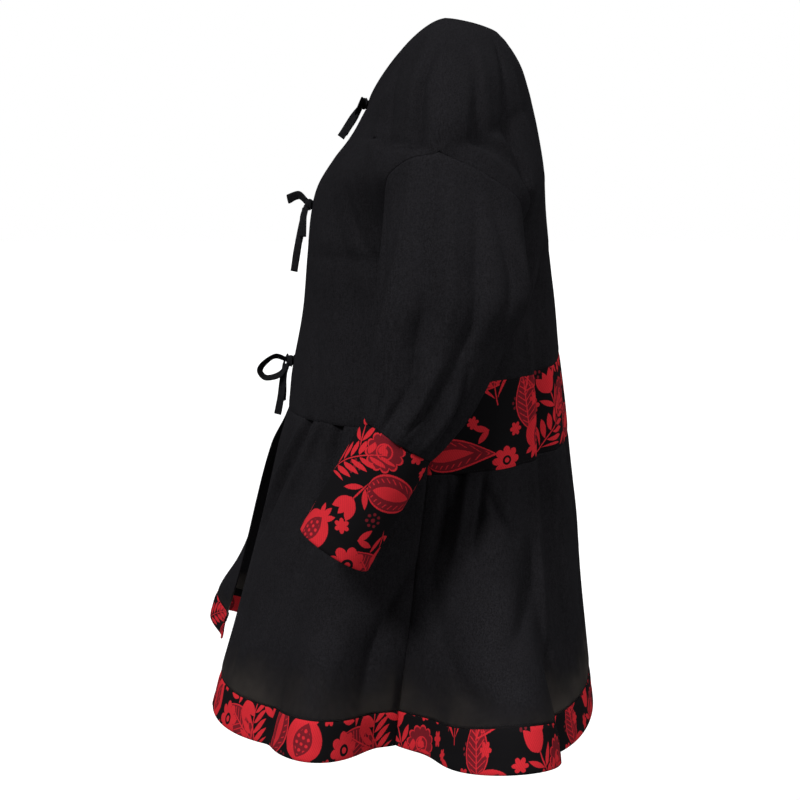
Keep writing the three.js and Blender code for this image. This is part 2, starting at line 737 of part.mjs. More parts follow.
// The tie lies on both front edges, moved out from their points
function strapRows(v) {
  const out = CLOTH / 2 + TIE_CLEAR + TIE_THICK / 2;
  const rows = [];
  for (const signed of [...STRAP_SHARES, ...STRAP_SHARES.map((s) => -s).reverse()]) {
    const point = panelPoint('front', signed, v).addScaledVector(panelNormal('front', signed, v), out);
    rows.push([point.x, point.y, point.z, 0, 0, 4.5]);
  }
  return rows;
}

function addBows() {
  for (const bow of BOWS) {
    const strap = strapRows(bow.v);
    const knot = new THREE.Vector3(0, (strap[1][1] + strap[2][1]) / 2 - KNOT[1] / 2, strap[1][2]);
    const ball = new THREE.SphereGeometry(1, 10, 6);
    ball.scale(...KNOT);
    ball.translate(knot.x, knot.y, knot.z);
    let solid = toSolid(ball).add(ribbonSolid(strap, 4));
    for (const ribbon of bow.ribbons) {
      const rows = ribbon.map(([x, y, z, ...half]) => [knot.x + x, knot.y + y, knot.z + z, ...half]);
      solid = solid.add(ribbonSolid(rows, 2 * (rows.length - 1)));
    }
    add(bow.name, fromSolid(solid), TIE);
  }
}

addFronts();
addBacks();
addSleeves();
addBows();

export default manteau;
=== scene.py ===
# Short open-front manteau, worn and hollow: fine cloth shells on the frame's form.
# Tables are in millimetres; meshes are in metres. Front -Y, wearer's left +X.
import math

import bpy
import numpy as np
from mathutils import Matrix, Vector


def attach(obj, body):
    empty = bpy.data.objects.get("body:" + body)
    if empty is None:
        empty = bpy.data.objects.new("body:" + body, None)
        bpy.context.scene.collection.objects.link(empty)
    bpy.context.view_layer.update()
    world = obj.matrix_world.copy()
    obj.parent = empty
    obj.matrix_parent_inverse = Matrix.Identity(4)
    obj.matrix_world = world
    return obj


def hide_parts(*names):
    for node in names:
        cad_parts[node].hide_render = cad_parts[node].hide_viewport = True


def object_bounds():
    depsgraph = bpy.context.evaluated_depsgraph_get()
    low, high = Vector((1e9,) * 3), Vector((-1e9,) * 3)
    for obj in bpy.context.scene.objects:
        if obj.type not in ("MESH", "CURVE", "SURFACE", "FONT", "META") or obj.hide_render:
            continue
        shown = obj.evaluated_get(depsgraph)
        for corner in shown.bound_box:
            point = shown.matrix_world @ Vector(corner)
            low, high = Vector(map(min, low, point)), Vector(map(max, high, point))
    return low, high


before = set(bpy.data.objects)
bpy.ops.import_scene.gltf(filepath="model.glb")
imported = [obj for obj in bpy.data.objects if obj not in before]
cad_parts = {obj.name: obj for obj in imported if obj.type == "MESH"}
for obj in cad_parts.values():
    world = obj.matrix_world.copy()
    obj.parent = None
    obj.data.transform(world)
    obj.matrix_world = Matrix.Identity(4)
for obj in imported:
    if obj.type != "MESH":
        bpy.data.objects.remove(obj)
cad_low, cad_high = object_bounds()

MM = 0.001
EDGE = 1e-6
FULL_TURN = 2 * math.pi
LEFT, RIGHT = 1, -1
SIDES = ((LEFT, "left"), (RIGHT, "right"))
THREAD_SLOT = 1

# Heights as a share: -1 is the hem, 0 the front waist seam, 1 the neckline
HEM, HEM_TOP = -1.0, -0.9
BAND_BOTTOM, WAIST, BAND_TOP = -0.14, 0.0, 0.11
ARMPIT, SHOULDER_TIP, NECKLINE = 0.42, 0.76, 1.0
V_SPAN_ABOVE, V_SPAN_BELOW = 440.0, 342.0

# Cloth thicknesses, what a turned-in edge adds, and how softly it begins
CREPE_THICK, COTTON_THICK, TIE_THICK = 0.8, 1.0, 1.3
TURN_EXTRA = {"edge": 0.8, "neck": 0.8, "hem": 1.0}
TURN_SOFT = 1.2
# Gap between pieces at a seam, and the dip of the cloth towards it
SEAM_GAP = 0.05
SEAM_SINK, SEAM_REACH, SIDE_SINK = 0.9, 5.0, 0.45
# Seam allowances on the inside: depth, thickness, width, how far they start beyond the
# seam, and their rows; and the rows of those inside sleeve and cuff
ALLOWANCE_DEPTH, ALLOWANCE_THICK, ALLOWANCE_WIDTH = 1.5, 0.6, 9.0
ALLOWANCE_OVER, ALLOWANCE_ROWS = 1.5, 5
TUBE_STEPS = np.array([-1.2, 1.0, 3.5, 6.0, ALLOWANCE_WIDTH])
# Stitches: pitch, length and radius; those beside an edge, and the lift over a turned neck
STITCH_PITCH, STITCH_LENGTH, STITCH_RADIUS = 3.2, 2.3, 0.2
EDGE_INSET, EDGE_STOP, EDGE_ROWS, NECK_LIFT = 8.4, 0.01, 300, 0.4
# Steps of share or v over which slopes are measured
NORMAL_STEP, ROW_STEP = 0.004, 0.01

# Side seam from the hem to the armpit: v, x, y, z
SIDE_SEAM = [
    (-1.00, 228, -50, -782), (-0.90, 227, -46, -745), (-0.57, 221, -33, -636),
    (-0.14, 208, -16, -490), (0.00, 203, -13, -442), (0.11, 198, -12, -394),
    (0.28, 186, -6, -318), (0.42, 172, 5, -262),
]

# Dropped armhole, armpit to shoulder tip: v, x, y, z
ARMHOLE = {
    "front": [
        (0.42, 172, 5, -262), (0.52, 186, -42, -224), (0.61, 214, -60, -180),
        (0.69, 240, -38, -156), (0.76, 252, -5, -149),
    ],
    "back": [
        (0.42, 172, 5, -262), (0.52, 184, 56, -238), (0.61, 212, 82, -203),
        (0.69, 238, 45, -172), (0.76, 252, -5, -149),
    ],
}

# Shoulder seam from the tip to the neck point: v, x, y, z
SHOULDER_SEAM = [
    (0.76, 252, -5, -149), (0.82, 243, -3, -112), (0.88, 214, 0, -70),
    (0.93, 172, 3, -38), (0.97, 124, 5, -15), (1.00, 80, 5, 0),
]

# Rows of the panels: v, centre edge x y z, its handle x y z, side handle x y z
ROWS = {
    "front": [
        (-1.00, 72, -264, -784, 128, 10, 0, 48, -112, 0),
        (-0.90, 65, -255, -747, 122, 8, 0, 44, -110, 0),
        (-0.70, 48, -236, -682, 112, 4, 0, 32, -104, 0),
        (-0.37, 24, -206, -567, 106, 2, 0, 18, -98, 0),
        (-0.14, 8, -189, -490, 108, 0, 0, 10, -98, 0),
        (0.00, 4, -176, -442, 112, 0, 0, 6, -98, 0),
        (0.11, 4, -171, -398, 110, 0, 0, 4, -96, 0),
        (0.28, 4, -158, -326, 104, 0, 0, 8, -98, 0),
        (0.42, 4, -152, -262, 98, 0, 0, 16, -112, 0),
        (0.52, 4, -148, -218, 92, 0, 0, -10, -50, 6),
        (0.61, 4, -140, -184, 84, 2, 0, -45, -28, 9),
        (0.69, 4, -122, -154, 80, 4, 4, -48, -32, 22),
        (0.76, 4, -107, -135, 76, 6, 8, -14, -50, 12),
        (0.82, 4, -98, -122, 70, 8, 10, -6, -46, -4),
        (0.88, 4, -91, -110, 62, 8, 12, -4, -48, -8),
        (0.93, 4, -86, -101, 55, 8, 10, -4, -46, -8),
        (0.97, 4, -82, -94, 48, 5, 8, 0, -44, -9),
        (1.00, 4, -80, -88, 44, 0, 6, 6, -44, -10),
    ],
    "back": [
        (-1.00, 0, 184, -782, 156, 0, 0, 176, 176, 0),
        (-0.90, 0, 180, -744, 155, 0, 0, 158, 168, 0),
        (-0.70, 0, 172, -668, 152, 0, 0, 110, 145, 0),
        (-0.37, 0, 162, -550, 155, 0, -4, 45, 115, 4),
        (-0.14, 0, 152, -465, 155, 0, -8, 22, 104, 6),
        (0.11, 0, 141, -374, 150, 0, -8, 18, 104, 4),
        (0.28, 0, 134, -312, 140, 0, 0, 12, 100, 0),
        (0.42, 0, 125, -255, 128, 0, 0, 16, 112, 0),
        (0.52, 0, 122, -205, 118, 0, 0, -10, 46, 12),
        (0.61, 0, 118, -158, 108, 0, 0, -45, 26, 16),
        (0.69, 0, 113, -118, 100, 0, 0, -42, 38, 24),
        (0.76, 0, 107, -88, 92, 0, 0, -12, 56, 14),
        (0.82, 0, 102, -70, 84, 0, 0, -6, 54, 2),
        (0.88, 0, 95, -50, 74, 0, 2, -4, 50, -8),
        (0.93, 0, 86, -34, 64, 0, 3, -4, 44, -9),
        (0.97, 0, 77, -22, 54, 0, 3, -2, 38, -8),
        (1.00, 0, 68, -12, 44, 0, 0, 4, 36, -5),
    ],
}

# How much further the right front edge swings open: v, out, y, z
RIGHT_SWING = [
    (-1.00, 64, -11, 20), (-0.90, 57, -12, 16), (-0.70, 36, -12, 10),
    (-0.37, 15, -13, 4), (-0.14, 5, -9, 1), (0.00, 0, 0, 0), (1.00, 0, 0, 0),
]

# Large folds and hem lobes of the frame: face, side (0 is both), v and share at
# both ends, outward heights at the start, middle and end, half widths
FOLDS = [
    ("front", 0, (0, -1), (0.68, 0.73), (0, 15, 66), (24, 70)),
    ("front", 0, (0, -0.48), (0.40, 0.06), (-8, -8, 0), (12, 16)),
    ("front", 0, (0, -0.36), (0.50, 0.30), (6, 5, 0), (12, 20)),
    ("front", 0, (0, -0.45), (0.60, 0.54), (-8, -6, 0), (12, 18)),
    ("front", 0, (0.72, 0.2), (0.74, 0.84), (0, -8, 0), (26, 34)),
    ("front", 0, (0.95, 0.66), (0.80, 0.88), (0, -5, 0), (20, 24)),
    ("front", RIGHT, (0, -1), (0.18, 0.21), (0, 12, 44), (24, 62)),
    ("back", 0, (0.11, -1), (0.74, 0.745), (0, 18, 90), (28, 98)),
    ("back", LEFT, (0.50, 0), (0.44, 0.44), (0, -9, -18), (34, 26)),
    ("back", LEFT, (0, -0.95), (0.44, 0.43), (-18, -14, 0), (26, 38)),
    ("back", RIGHT, (0.46, 0), (0.46, 0.48), (0, -7, -15), (38, 32)),
    ("back", RIGHT, (0, -0.85), (0.48, 0.50), (-15, -10, 0), (32, 46)),
    ("back", 0, (-0.14, -0.42), (0.88, 0.94), (-7, -6, 0), (11, 18)),
    ("back", 0, (-0.14, -0.36), (0.20, 0.16), (-7, -5, 0), (12, 18)),
    ("back", 0, (0.96, 0.55), (0.72, 0.80), (0, -7, 0), (22, 28)),
]

# Sleeve sections: share of length, centre x y z, half sizes, tilt in degrees
SLEEVE_ROWS = [
    (0.34, 257, 8, -284, 57, 77, 6),
    (0.56, 265, -7, -338, 57, 67, 9),
    (0.80, 275, -24, -396, 51, 55, 17),
    (0.94, 282, -41, -428, 42, 46, 28),
    (1.00, 284, -47, -439, 37, 41, 32.5),
]

# Sleeve folds: shares of length, angles at both ends, heights, half widths in degrees
SLEEVE_FOLDS = [
    ((0.1, 1.0), (150, 120), (0, 6, 2), (22, 18)),
    ((0.35, 1.0), (190, 178), (0, 5, 3), (18, 16)),
    ((0.2, 0.9), (172, 150), (0, -5, 0), (18, 14)),
    ((0.0, 0.5), (12, 40), (0, -6, 0), (26, 20)),
]
GATHER_START, GATHER_HEIGHT, GATHERS = 0.62, 2.6, 10

# Cuff tube: centres and half sizes at its seam and at its hem
CUFF_TOP, CUFF_END = (284, -47, -439), (281, -113, -554)
CUFF_HALF_TOP, CUFF_HALF_END = (36, 40), (37.5, 40.5)


def smooth(t):
    t = np.clip(t, 0, 1)
    return t * t * (3 - 2 * t)


def mix(a, b, t):
    return a + (b - a) * t


def unit(vectors):
    length = np.linalg.norm(vectors, axis=-1, keepdims=True)
    return vectors / np.maximum(length, 1e-9)


def hermite(knots, values, at):
    """Smooth curve through values at the knots, read at every entry of at."""
    knots = np.asarray(knots, float)
    values = np.asarray(values, float)
    at = np.asarray(at, float)
    last = len(knots) - 1
    k = np.clip(np.searchsorted(knots, at, side="left") - 1, 0, last - 1)
    before, after = np.maximum(k - 1, 0), np.minimum(k + 2, last)
    span = knots[k + 1] - knots[k]
    t = (at - knots[k]) / span

    def wide(x):
        return x.reshape(x.shape + (1,) * (values.ndim - 1))

    a, b = values[k], values[k + 1]
    slope_a = (b - values[before]) * wide(span / (knots[k + 1] - knots[before]))
    slope_b = (values[after] - a) * wide(span / (knots[after] - knots[k]))
    t = wide(t)
    t2, t3 = t * t, t * t * t
    ends = (2 * t3 - 3 * t2 + 1) * a + (3 * t2 - 2 * t3) * b
    return ends + (t3 - 2 * t2 + t) * slope_a + (t3 - t2) * slope_b


def sample(table, at):
    table = np.asarray(table, float)
    return hermite(table[:, 0], table[:, 1:], at)


def edge_point(face, v):
    """The edge that front and back share, or that meets the sleeve."""
    v = np.asarray(v, float)
    point = sample(SIDE_SEAM, np.minimum(v, ARMPIT))
    armhole = sample(ARMHOLE[face], np.clip(v, ARMPIT, SHOULDER_TIP))
    shoulder = sample(SHOULDER_SEAM, np.maximum(v, SHOULDER_TIP))
    point = np.where((v > ARMPIT)[..., None], armhole, point)
    return np.where((v > SHOULDER_TIP)[..., None], shoulder, point)


def row_controls(face, side, v):
    """Four control points of each row, on the wearer's left."""
    row = sample(ROWS[face], v)
    start = row[..., 0:3]
    if face == "front" and side == RIGHT:
        start = start + sample(RIGHT_SWING, v)
    end = edge_point(face, v)
    return start, start + row[..., 3:6], end + row[..., 6:9], end


def base_point(face, side, s, v):
    p0, p1, p2, p3 = row_controls(face, side, v)
    s = np.asarray(s, float)[..., None]
    m = 1 - s
    return m**3 * p0 + 3 * m * m * s * p1 + 3 * m * s * s * p2 + s**3 * p3


def row_length(face, side, v, steps=40):
    v = np.asarray(v, float)
    s = np.linspace(0, 1, steps + 1)
    points = base_point(face, side, np.broadcast_to(s, v.shape + s.shape), v[..., None])
    return np.linalg.norm(np.diff(points, axis=-2), axis=-1).sum(-1)


def rise(heights, t):
    """Height along a fold: smooth from its start to its middle and to its end."""
    start, middle, end = heights
    first = mix(start, middle, smooth(2 * t))
    return np.where(t < 0.5, first, mix(middle, end, smooth(2 * t - 1)))


def run_along(points):
    """Distance along a line of points, at each of them."""
    return np.concatenate([[0], np.cumsum(np.linalg.norm(np.diff(points, axis=0), axis=-1))])


def span_of(v):
    """Millimetres to one unit of v."""
    return np.where(np.asarray(v) > 0, V_SPAN_ABOVE, V_SPAN_BELOW)


def fold_at(t, across, heights):
    """Height of a fold: t runs along it, across is 0 on its line and 1 at its edge."""
    within = (t >= 0) & (t <= 1) & (across < 1)
    return np.where(within, rise(heights, np.clip(t, 0, 1)) * (1 - smooth(across)), 0)


def fold_height(face, side, s, v, length):
    height = np.zeros(np.broadcast(s, v).shape)
    for where, which, (v_a, v_b), (s_a, s_b), heights, wide in FOLDS:
        if where == face and which in (0, side):
            t = (v - v_a) / (v_b - v_a)
            away = np.abs(s - mix(s_a, s_b, t)) * length
            height += fold_at(t, away / mix(*wide, t), heights)
    return height


# Creases pressed and hung into the cloth: height (minus is a trough), half width, then
# share and v of each point of its path, in hundredths
CREASES = {
    ("front", LEFT): [
        (-3.2, 9, 60, 97, 56, 90, 59, 82, 63, 75, 86, 68),
        (2.2, 10, 48, 93, 46, 87, 50, 80, 55, 73, 80, 64),
        (-3.6, 9, 97, 94.5, 90, 92, 83, 88, 79, 81, 84, 75.5),
        (2.0, 10, 90, 97, 80, 92, 73, 84),
        (-4.2, 12, 54, 61, 62, 52, 70, 45, 76, 38),
        (-3.4, 19, 44, 58, 58, 42, 66, 28, 70, 12),
        (-2.0, 14, 30, 34, 40, 18, 50, 0),
        (-2.6, 12, 90, 38, 84, 22, 80, 4),
        (-5.6, 5, 40, -1, 37, -10, 29, -20, 22, -29, 11, -42),
        (2.8, 6, 34, -1, 30, -10, 22, -20, 15, -29, 6, -40),
        (-1.8, 7, 26, -1, 23, -10, 16, -20),
        (-4.0, 8, 62, -3, 60, -18, 56, -34, 52, -52),
        (-2.4, 9, 52, -30, 48, -48, 45, -62),
        (-3.0, 10, 80, -2, 83, -20, 85, -40),
        (-6.5, 11, 99, -42, 92, -55, 87, -70, 86, -88),
        (2.4, 12, 80, -56, 77, -72, 76, -88),
        (-3.2, 22, 36, -50, 40, -68, 42, -86),
        (-2.4, 16, 12, -52, 16, -70, 18, -88),
    ],
    ("front", RIGHT): [
        (-3.0, 10, 62, 97, 58, 88, 60, 80, 80, 70),
        (-3.4, 9, 95, 94, 88, 89, 82, 82, 86, 76),
        (-4.0, 13, 52, 60, 62, 48, 72, 38),
        (-3.0, 19, 42, 54, 54, 38, 64, 24, 66, 10),
        (-2.0, 14, 26, 30, 38, 16, 46, 0),
        (-4.2, 7, 38, -1, 35, -12, 28, -22, 18, -34),
        (2.6, 7, 48, -1, 44, -14, 38, -26),
        (-3.8, 8, 60, -2, 57, -18, 53, -36, 50, -50),
        (-3.0, 11, 80, -2, 83, -20, 86, -44),
        (-5.5, 12, 98, -46, 93, -58, 90, -74, 88, -88),
        (-3.2, 22, 44, -46, 46, -64, 46, -88),
    ],
    ("back", LEFT): [
        (-4.8, 10, 47, 96, 49, 86, 53, 77, 66, 69, 78, 62, 72, 54, 64, 46),
        (2.4, 13, 36, 90, 38, 78, 44, 66, 52, 54),
        (1.8, 14, 72, 95, 70, 88, 72, 80),
        (-3.4, 10, 42, 44, 46, 34, 55, 24, 60, 14),
        (2.4, 10, 56, 46, 58, 34, 64, 22),
        (-2.6, 12, 90, 40, 80, 28, 74, 14),
        (2.4, 7, 56, 36, 55, 20, 54.5, 0, 55, -20),
        (-5.4, 6, 92.5, -15, 93, -26, 95, -40),
        (4.0, 8, 85.5, -15, 86.5, -28, 88.5, -42),
        (-6.0, 6, 79, -14.5, 80, -27, 82, -41),
        (-4.6, 6, 78, -20, 73, -29, 65, -39),
        (2.2, 8, 69, -15, 70, -22, 69, -32),
        (-7.0, 15, 55, -34, 61, -50, 69, -63, 78, -74),
        (3.0, 8, 54, -16, 54, -36, 54, -56, 55, -74),
        (-4.0, 8, 53, -68, 57, -79, 62, -89),
        (-4.4, 11, 88, -68, 83, -80, 76, -89),
        (-3.4, 12, 96, -40, 93, -56, 90, -70),
        (-3.4, 7, 33, -15, 35, -36, 38, -60, 39, -88),
        (-2.8, 7, 22, -15, 20, -28, 18, -46),
        (-2.8, 8, 9, -15, 8, -28, 5, -52),
        (-3.6, 20, 14, -50, 16, -68, 18, -88),
    ],
    ("back", RIGHT): [
        (-4.4, 10, 50, 95, 52, 85, 58, 76, 74, 66, 78, 56),
        (2.2, 14, 34, 86, 40, 72, 46, 56),
        (-3.0, 11, 40, 48, 46, 36, 54, 22),
        (-2.6, 12, 90, 40, 82, 28, 78, 13),
        (-3.6, 6, 94, -15, 96, -28, 97, -44),
        (-4.0, 7, 80, -15, 82, -28, 85, -40),
        (-3.2, 6, 68, -15, 70, -26, 75, -40),
        (-6.0, 15, 58, -40, 66, -54, 76, -70),
        (2.8, 9, 60, -16, 59, -40, 60, -66),
        (-4.0, 11, 86, -66, 82, -78, 78, -88),
        (-3.0, 7, 34, -15, 33, -28, 30, -44),
        (-2.6, 7, 20, -15, 21, -24, 24, -36),
        (-2.8, 8, 10, -15, 10, -28, 12, -48),
        (-3.6, 20, 16, -46, 20, -64, 22, -88),
    ],
}

CREASE_DEPTH, SLEEVE_DEPTH, CREASE_SHARPNESS = 1.6, 2.2, 1.2
CREASE_TAPER, SLEEVE_TAPER = 0.02, 0.04

# Sleeve creases: height, half width, then angle in degrees and hundredths of the length
SLEEVE_CREASES = [
    (-4.0, 8, 174, 5, 157, 28, 158, 60, 176, 92),
    (2.6, 9, 190, 6, 178, 28, 181, 56),
    (-3.4, 9, 211, 6, 198, 30, 203, 50, 201, 70),
    (2.8, 8, 150, 5, 129, 34, 123, 68, 126, 97),
    (-2.6, 7, 114, 5, 107, 34, 105, 74),
    (-3.8, 5, 193, 68, 184, 95),
    (-3.8, 6, 216, 64, 237, 97),
    (-2.8, 5, 160, 76, 152, 97),
    (-2.0, 4, 138, 80, 140, 97),
    (-2.4, 12, 226, 5, 233, 30, 229, 56),
    (2.2, 10, 250, 12, 262, 40, 256, 78),
    (-3.2, 9, 20, 18, 36, 50, 30, 82),
    (2.2, 10, 60, 12, 66, 50, 62, 90),
    (-2.6, 9, 326, 14, 318, 45, 323, 85),
    (-2.4, 8, 292, 20, 300, 60, 296, 90),
]
# Sleeve's length, millimetres to a degree, and turn of the creases on the right
SLEEVE_LENGTH, SLEEVE_DEGREE, SLEEVE_SHIFT = 300.0, 1.05, 7.0
# Shares of its length: the swell of the cloth starts there, and its fall is measured
SLEEVE_CALM, SLEEVE_BELOW = 0.15, 0.06


def path_distance(x, y, path):
    """Distance to a path and the share of its length at the nearest point."""
    lengths = [math.dist(a, b) for a, b in zip(path, path[1:])]
    total, run = sum(lengths), 0.0
    best = np.full(x.shape, np.inf)
    share = np.zeros(x.shape)
    for (ax, ay), (bx, by), length in zip(path, path[1:], lengths):
        t = ((x - ax) * (bx - ax) + (y - ay) * (by - ay)) / length**2
        t = np.clip(t, 0, 1)
        away = np.hypot(x - mix(ax, bx, t), y - mix(ay, by, t))
        nearer = away < best
        best = np.where(nearer, away, best)
        share = np.where(nearer, (run + t * length) / total, share)
        run += length
    return best, share


def crease_at(x, y, path, high, wide, taper):
    """Height of a crease along a path, lower towards its ends."""
    away, share = path_distance(x, y, path)
    swell = np.sin(math.pi * np.clip(share, taper, 1 - taper)) ** 0.6
    return high * swell * np.exp(-((CREASE_SHARPNESS * away / wide) ** 1.5))


def crease_height(face, side, s, v, length):
    height = np.zeros(np.broadcast(s, v).shape)
    middle = float(np.median(length))
    for high, wide, *path in CREASES[face, side]:
        points = zip(path[::2], path[1::2])
        path = [(a / 100 * middle, b / 100 * span_of(b)) for a, b in points]
        high *= CREASE_DEPTH
        height += crease_at(s * middle, v * span_of(v), path, high, wide, CREASE_TAPER)
    return height


def hang(x, y, z):
    """Small uneven swell of hung cloth, in millimetres."""
    a = np.sin(x / 31 + 1.3 * np.sin(z / 57)) * np.sin(z / 83 + y / 49)
    b = np.sin(y / 23 - z / 61 + 0.7) * np.sin(x / 45 + z / 37)
    return 0.55 * a + 0.4 * b


def seam_sink(face, s, v, length):
    """Shallow dip of the cloth towards every seam line."""
    seams = [WAIST, HEM_TOP] if face == "front" else [BAND_BOTTOM, BAND_TOP, HEM_TOP]
    away = [np.abs(v - seam) * span_of(v) for seam in seams]
    dip = [np.exp(-((a / SEAM_REACH) ** 2)) for a in away]
    dip.append(SIDE_SINK * np.exp(-(((1 - s) * length / SEAM_REACH) ** 2)))
    return -SEAM_SINK * np.max(dip, axis=0)


def panel(face, side, s, v):
    """Points and outward normals of a panel, folds and creases included."""
    s, v = np.broadcast_arrays(np.asarray(s, float), np.asarray(v, float))
    point = base_point(face, side, s, v)
    after, before = [base_point(face, side, s + d, v) for d in (NORMAL_STEP, -NORMAL_STEP)]
    high = base_point(face, side, s, np.minimum(v + NORMAL_STEP, NECKLINE))
    low = base_point(face, side, s, np.maximum(v - NORMAL_STEP, HEM))
    normal = unit(np.cross(after - before, high - low))
    if face == "back":
        normal = -normal
    length = row_length(face, side, v[:, 0])[:, None]
    height = fold_height(face, side, s, v, length) + crease_height(face, side, s, v, length)
    height = height + seam_sink(face, s, v, length)
    point = point + normal * (height + hang(*np.moveaxis(point, -1, 0)))[..., None]
    mirror = (side, 1, 1)
    return point * mirror, normal * mirror


def grid_normals(grid, closed):
    """Unit normals of a grid of points, columns crossed with rows."""
    if closed:
        across = np.roll(grid, -1, axis=1) - np.roll(grid, 1, axis=1)
    else:
        across = np.gradient(grid, axis=1)
    return unit(np.cross(across, np.gradient(grid, axis=0)))


class Shell:
    """Vertices, faces, UVs in metres and material numbers of one piece."""

    def __init__(self):
        self.points, self.faces, self.uvs, self.slots, self.same = [], [], [], [], []
        self.count = 0

    def add(self, points, faces, uvs, slot=0, same=None):
        """same gives, for each vertex, the vertex that stands at its place."""
        own = np.arange(len(points)) if same is None else np.asarray(same)
        self.points.append(np.asarray(points, float))
        self.faces += [tuple(int(i) + self.count for i in face) for face in faces]
        self.uvs.append(np.asarray(uvs, float))
        self.slots += [slot] * len(faces)
        self.same.append(own + self.count)
        self.count += len(points)

    def make(self, name, materials):
        mesh = bpy.data.meshes.new(name)
        points = np.concatenate(self.points) * MM
        uvs = np.concatenate(self.uvs) * MM
        used, place = np.unique(np.concatenate(self.same), return_inverse=True)
        faces = [tuple(place[list(face)].tolist()) for face in self.faces]
        mesh.from_pydata(points[used].tolist(), [], faces)
        layer = mesh.uv_layers.new(name="cloth")
        corners = np.concatenate([np.array(face) for face in self.faces])
        layer.data.foreach_set("uv", uvs[corners].ravel())
        mesh.polygons.foreach_set("material_index", self.slots)
        mesh.polygons.foreach_set("use_smooth", [True] * len(mesh.polygons))
        for material in materials:
            mesh.materials.append(material)
        return placed_object(name, mesh)


def placed_object(name, data):
    thing = bpy.data.objects.new(name, data)
    bpy.context.scene.collection.objects.link(thing)
    return thing


def grid_uvs(grid, offset=(0, 0)):
    """Cloth coordinates of a grid: run of the middle row, and rise of the middle column."""
    rows, columns = grid.shape[:2]
    run, climb = run_along(grid[rows // 2]), run_along(grid[:, columns // 2])
    return np.stack(np.meshgrid(run + offset[0], climb + offset[1]), axis=-1)


def wall(shell, grid, thick, closed=False, uvs=None, outward=1):
    """Closed wall of cloth about a grid, its rims rounded. The normal's side is outside."""
    rows, columns = grid.shape[:2]
    normals = grid_normals(grid, closed)
    if uvs is None:
        uvs = grid_uvs(grid)
    if closed:
        if uvs.shape[1] == columns:
            uvs = np.concatenate([uvs, 2 * uvs[:, -1:] - uvs[:, -2:-1]], axis=1)
        grid, normals = [np.concatenate([x, x[:, :1]], axis=1) for x in (grid, normals)]
        columns += 1
    thick = np.broadcast_to(np.asarray(thick, float), (rows, columns))[..., None]
    outer = grid + normals * thick / 2 * outward
    inner = grid - normals * thick / 2 * outward
    layer = rows * columns
    index = np.arange(layer).reshape(rows, columns)
    home = index.copy()
    if closed:
        home[:, -1] = index[:, 0]
    same = [home.ravel(), home.ravel() + layer]
    quads = np.stack([index[:-1, :-1], index[:-1, 1:], index[1:, 1:], index[1:, :-1]], -1)
    quads = quads.reshape(-1, 4)[:, ::outward]
    faces = [tuple(q) for q in quads] + [tuple(q[::-1] + layer) for q in quads]
    points = [outer.reshape(-1, 3), inner.reshape(-1, 3)]
    flat = uvs.reshape(-1, 2)
    all_uvs = [flat, flat]

    # Rim: boundary points pushed out by half the thickness
    first, last = grid[0] - grid[1], grid[-1] - grid[-2]
    if closed:
        rings = [(index[0], first), (index[-1][::-1], last[::-1])]
    else:
        border = [index[0, :-1], index[:-1, -1], index[-1, :0:-1], index[:0:-1, 0], index[0, :1]]
        border = np.concatenate(border)
        away = np.zeros_like(grid)
        away[0] += unit(first)
        away[-1] += unit(last)
        away[:, 0] += unit(grid[:, 0] - grid[:, 1])
        away[:, -1] += unit(grid[:, -1] - grid[:, -2])
        rings = [(border, away.reshape(-1, 3)[border])]
    count = 2 * layer
    for ring, away in rings:
        reach = thick.reshape(-1, 1)[ring] / 2
        points.append(grid.reshape(-1, 3)[ring] + unit(away) * reach)
        same.append(np.append(np.arange(len(ring) - 1), 0) + count)
        all_uvs.append(flat[ring])
        for k in range(len(ring) - 1):
            a, b = int(ring[k]), int(ring[k + 1])
            c, d = count + k, count + k + 1
            pair = [(b, a, c, d), (d, c, a + layer, b + layer)]
            faces += [face[::outward] for face in pair]
        count += len(ring)
    shell.add(np.concatenate(points), faces, np.concatenate(all_uvs), 0, np.concatenate(same))


# Armhole as a loop of angles: 0 at the armpit, 90 degrees at the front, 180 at the tip
LOOP_STEPS = 200


def armhole_points(angle):
    """Armhole point at each angle."""
    v = np.linspace(ARMPIT, SHOULDER_TIP, LOOP_STEPS)
    angle = np.mod(angle, FULL_TURN)
    ways = {"front": angle, "back": FULL_TURN - angle}
    points = []
    for face, way in ways.items():
        run = run_along(edge_point(face, v))
        points.append(edge_point(face, np.interp(way, run / run[-1] * math.pi, v)))
    return np.where((angle <= math.pi)[:, None], *points)


def ring_point(centre, half_x, half_y, tilt, angle):
    """Point of a tilted oval ring; angle 0 is the inner side, 90 degrees the front."""
    lean = math.radians(tilt)
    x = -np.cos(angle) * half_x
    y = -np.sin(angle) * half_y
    moved = (x, y * math.cos(lean), -(y * math.sin(lean)))
    return np.stack([c + m for c, m in zip(centre, moved)], axis=-1)


